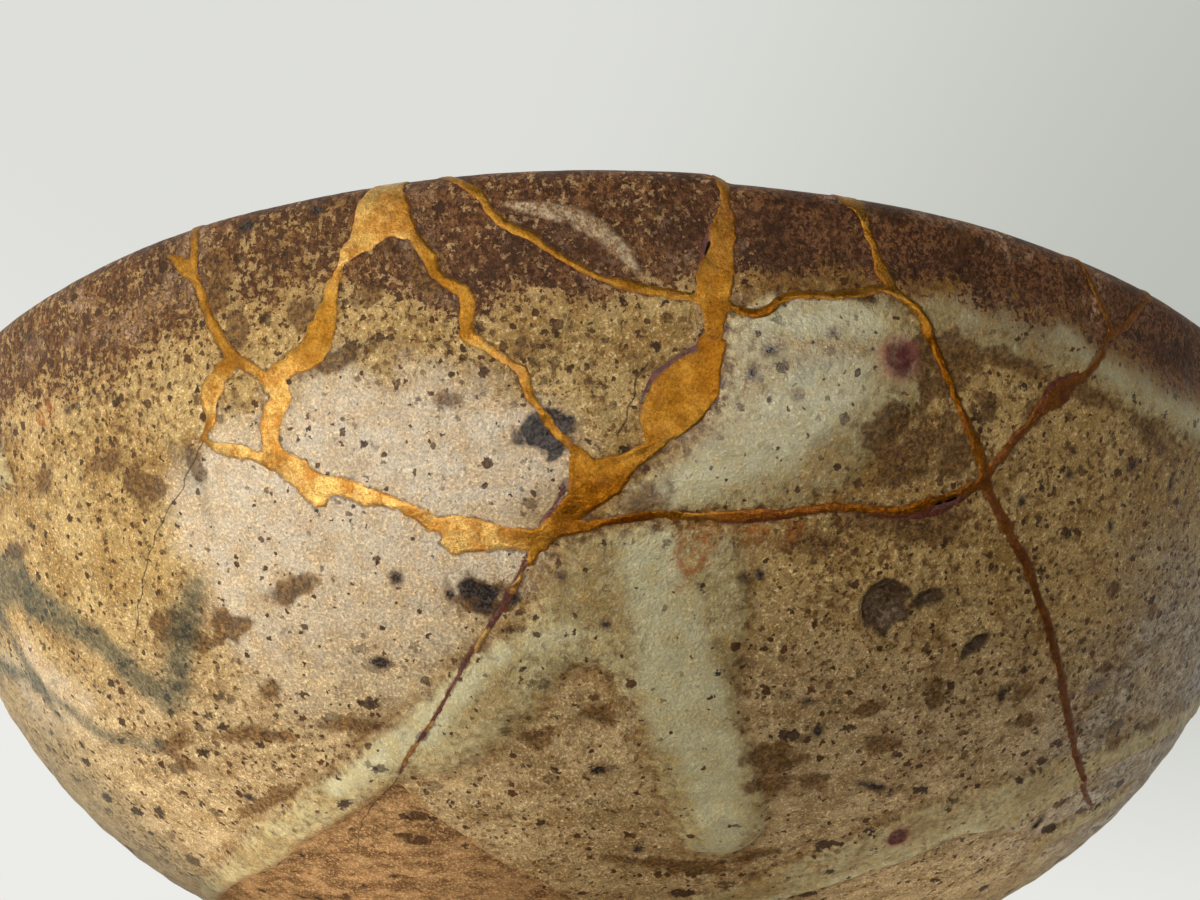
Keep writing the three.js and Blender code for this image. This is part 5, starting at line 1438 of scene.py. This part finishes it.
def gold_material():
    g = Graph("gold_and_lacquer")
    lac, worn, edge = g.attr("lacquer"), g.attr("worn"), g.attr("edge")
    n15, n07, n03 = g.noise(1.5, 4, 0.6), g.noise(0.7, 4, 0.65), g.noise(0.3, 3, 0.7)
    grain = g.noise(0.09, 2, 0.7)
    n02 = g.noise(0.2, 2, 0.6)
    tint = g.attr("tint")
    gold_c = g.mix(g.step(n15, 0.38, 0.64), lin((172, 122, 44)), lin((146, 96, 26)))
    # Painted highlight and painted shade colours of the gold, chosen by the tint attribute.
    painted_highlight_gold = g.mix(g.step(n15, 0.38, 0.64), lin((226, 184, 108)), lin((190, 132, 58)))
    painted_shade_gold = g.mix(g.step(n15, 0.38, 0.64), lin((150, 92, 14)), lin((120, 66, 6)))
    gold_c = g.mix(g.step(tint, 0.0, 1.0), gold_c, painted_highlight_gold)
    gold_c = g.mix(g.step(tint, 0.0, -1.0), gold_c, painted_shade_gold)
    shade = g.ramp(grain, 0.32, 0.68, 0.66, 1.30)
    shade = g.mul(shade, g.ramp(n02, 0.3, 0.7, 0.74, 1.24))
    shade = g.mul(shade, g.ramp(n07, 0.32, 0.68, 0.74, 1.22))
    gold_c = g.mix(1.0, gold_c, g_col(g, shade), "MULTIPLY")
    brown = g.mix(g.step(n03, 0.4, 0.62), lin((140, 76, 22)), lin((96, 46, 12)))
    wv = g.mul(worn, g.step(g.mad(n07, 0.6, g.mul(n03, 0.4)), 0.42, 0.56))
    wv = g.math("MAXIMUM", wv, g.mul(worn, 0.45))
    rag = g.step(g.add(edge, g.mad(n03, 0.5, -0.25)), 0.05, -0.03)
    wv = g.math("MAXIMUM", wv, g.mul(rag, 0.55))
    red = g.mix(g.step(n03, 0.4, 0.62), lin((66, 20, 8)), lin((104, 42, 16)))
    colour = g.mix(g.mul(wv, 0.9), gold_c, brown)
    colour = g.mix(lac, colour, red)
    g.put(g.bsdf.inputs["Base Color"], colour)
    metal = g.math("SUBTRACT", 1.0, g.mul(wv, 0.45))
    metal = g.mul(metal, g.math("SUBTRACT", 1.0, lac))
    g.put(g.bsdf.inputs["Metallic"], metal)
    rough = g.mad(n07, 0.22, 0.26)
    rough = g.mad(g.step(grain, 0.4, 0.7), 0.12, rough)
    rough = g.mad(wv, 0.12, rough)
    rough = g.mad(lac, -0.08, rough)
    g.put(g.bsdf.inputs["Roughness"], rough)
    h = g.mad(grain, 0.35, g.mad(n03, 0.60, g.mul(n07, 0.7)))
    h = g.mad(n02, 0.45, h)
    g.put(g.bsdf.inputs["Normal"], g.bump(h, 0.085, 1.0))
    return g.mat


glaze = glaze_material()
gilding = gold_material()
for name, ob in pieces.items():
    ob.data.materials.append(glaze)
    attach(ob, "root")
    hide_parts(name)
gold.data.materials.append(gilding)
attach(gold, "root")
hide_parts("gold_seams")


# ------------------------------------------------------------------ studio
def plain_material(name, c1, c2):
    g = Graph(name)
    g.put(g.bsdf.inputs["Base Color"], g.mix(g.step(g.noise(60, 3, 0.5), 0.35, 0.65), c1, c2))
    g.bsdf.inputs["Roughness"].default_value = 0.85
    return g.mat


def plane(name, half, z, mat):
    me = bpy.data.meshes.new(name)
    me.from_pydata([(-half, -half, z), (half, -half, z), (half, half, z), (-half, half, z)], [], [(0, 1, 2, 3)])
    ob = bpy.data.objects.new(name, me)
    bpy.context.scene.collection.objects.link(ob)
    me.materials.append(mat)
    return ob


def painted_shadow_card_material():
    """Pale card with a dark sector to the front right: a painted shadow, which soaks up light there."""
    g = Graph("studio_card_painted_shadow")
    n = g.tree.nodes.new("ShaderNodeVectorMath")
    n.operation = "MULTIPLY"
    g.put(n.inputs[0], g.co)
    n.inputs[1].default_value = (1, 1, 0)
    u = g.tree.nodes.new("ShaderNodeVectorMath")
    u.operation = "NORMALIZE"
    g.put(u.inputs[0], n.outputs[0])
    d = g.tree.nodes.new("ShaderNodeVectorMath")
    d.operation = "DOT_PRODUCT"
    g.put(d.inputs[0], u.outputs[0])
    d.inputs[1].default_value = (math.sin(math.radians(35)), -math.cos(math.radians(35)), 0)
    far = g.tree.nodes.new("ShaderNodeVectorMath")
    far.operation = "LENGTH"
    g.put(far.inputs[0], n.outputs[0])
    k = g.mul(g.step(d.outputs["Value"], 0.62, 0.82), g.step(far.outputs["Value"], 0.056, 0.074))
    g.put(g.bsdf.inputs["Base Color"], g.mix(k, lin((240, 239, 235)), lin((52, 48, 44))))
    g.bsdf.inputs["Roughness"].default_value = 0.9
    return g.mat


# the floor that shows, and under it the card that lights the bowl from below, with a painted shadow to the front
# right
floor = plane("floor", 6.0, -0.0002, plain_material("floor_paper", lin((234, 234, 230)), lin((229, 230, 226))))
floor.visible_diffuse = floor.visible_glossy = floor.visible_shadow = False
card = painted_shadow_card_material()
under = plane("floor_card", 6.0, -0.0006, card)
under.visible_camera = False
# a standing card round the front right in the same material, dark there: painted shade for the bowl and its
# reflections
arc = np.radians(np.linspace(-14, 104, 40))
wall_v = [(0.34 * math.sin(t), -0.34 * math.cos(t), z) for t in arc for z in (0.0, 0.30)]
wall_f = [(2 * k, 2 * k + 1, 2 * k + 3, 2 * k + 2) for k in range(len(arc) - 1)]
me = bpy.data.meshes.new("side_card")
me.from_pydata(wall_v, [], wall_f)
me.materials.append(card)
side_card = bpy.data.objects.new("side_card", me)
bpy.context.scene.collection.objects.link(side_card)
side_card.visible_camera = False

world = bpy.data.worlds.new("studio")
bpy.context.scene.world = world
world.use_nodes = True
wt = world.node_tree
wt.nodes.clear()
w_out = wt.nodes.new("ShaderNodeOutputWorld")
w_bg = wt.nodes.new("ShaderNodeBackground")
wt.links.new(w_bg.outputs[0], w_out.inputs[0])
w_co = wt.nodes.new("ShaderNodeTexCoord")


def w_step(direction, lo, hi):
    d = wt.nodes.new("ShaderNodeVectorMath")
    d.operation = "DOT_PRODUCT"
    wt.links.new(w_co.outputs["Generated"], d.inputs[0])
    d.inputs[1].default_value = direction
    m = wt.nodes.new("ShaderNodeMapRange")
    m.interpolation_type = "SMOOTHSTEP"
    wt.links.new(d.outputs["Value"], m.inputs[0])
    m.inputs[1].default_value, m.inputs[2].default_value = lo, hi
    return m.outputs[0]


def w_mix(fac, a, b):
    m = wt.nodes.new("ShaderNodeMix")
    m.data_type = "RGBA"
    wt.links.new(fac, m.inputs[0])
    for sock, v in ((m.inputs[6], a), (m.inputs[7], b)):
        if isinstance(v, bpy.types.NodeSocket):
            wt.links.new(v, sock)
        else:
            sock.default_value = v
    return m.outputs[2]


sky = w_mix(w_step((-0.83, 0.0, 0.56), -0.25, 0.55), lin((186, 189, 181)), lin((222, 223, 218)))
sky = w_mix(w_step((-0.25, 0.0, -1.0), -0.55, -0.05), sky, lin((236, 236, 232)))
wt.links.new(sky, w_bg.inputs[0])
w_bg.inputs[1].default_value = 1.0


def area(name, at, aim, size, power, colour=(1, 1, 1), shape="RECTANGLE"):
    data = bpy.data.lights.new(name, "AREA")
    data.shape = shape
    data.size, data.size_y = size[0] * 0.001, size[1] * 0.001
    data.energy = power
    data.color = colour
    ob = bpy.data.objects.new(name, data)
    bpy.context.scene.collection.objects.link(ob)
    ob.location = Vector(at) * 0.001
    ob.rotation_mode = "QUATERNION"
    ob.rotation_quaternion = ((Vector(aim) - Vector(at)) * 0.001).to_track_quat("-Z", "Y")
    ob.visible_camera = False
    return ob


area("key", (-430, -330, 90), (-20, -60, 25), (320, 150), 0.36, (1.0, 0.985, 0.96))
for name, at, aim, size, power in [
    ("low", (-90, -150, 5), (-5, -45, 12), (190, 90), 0.19),
    ("low_right", (85, -140, 5), (25, -42, 12), (130, 80), 0.055),
    ("under_left", (-52, -44, 0.8), (-52, -44, 50), (80, 30), 0.012),
    ("under_right", (42, -34, 0.8), (42, -34, 50), (50, 30), 0.004),
]:
    area(name, at, aim, size, power, (1.0, 0.99, 0.97)).visible_glossy = False
for name, at, aim, size, power in [
    ("glint", (37, -124, 5), (9, -68, 31), (13, 8), 0.020),
    ("glint_mid", (-15, -138, 5), (-6, -70, 34), (12, 6), 0.008),
    ("glint_left", (-40, -108, 5), (-13, -66, 30), (12, 7), 0.011),
]:
    area(name, at, aim, size, power, (1.0, 0.99, 0.97)).visible_diffuse = False

# ------------------------------------------------------------------ camera
cam = bpy.data.cameras.new("camera")
cam.sensor_width = 36.0
cam.lens = 902.0 / 1200.0 * 36.0
cam.clip_start, cam.clip_end = 0.001, 50.0
cam_ob = bpy.data.objects.new("camera", cam)
bpy.context.scene.collection.objects.link(cam_ob)
cam_ob.location = (0.0, -0.11556, 0.00570)
cam_ob.rotation_euler = (math.radians(90 + 29.33), 0.0, math.radians(0.10))
bpy.context.scene.camera = cam_ob
bpy.context.scene.view_settings.view_transform = "Standard"
bpy.context.scene.view_settings.look = "None"
bpy.context.scene.view_settings.exposure = 0.0
bpy.context.scene.view_settings.gamma = 1.0
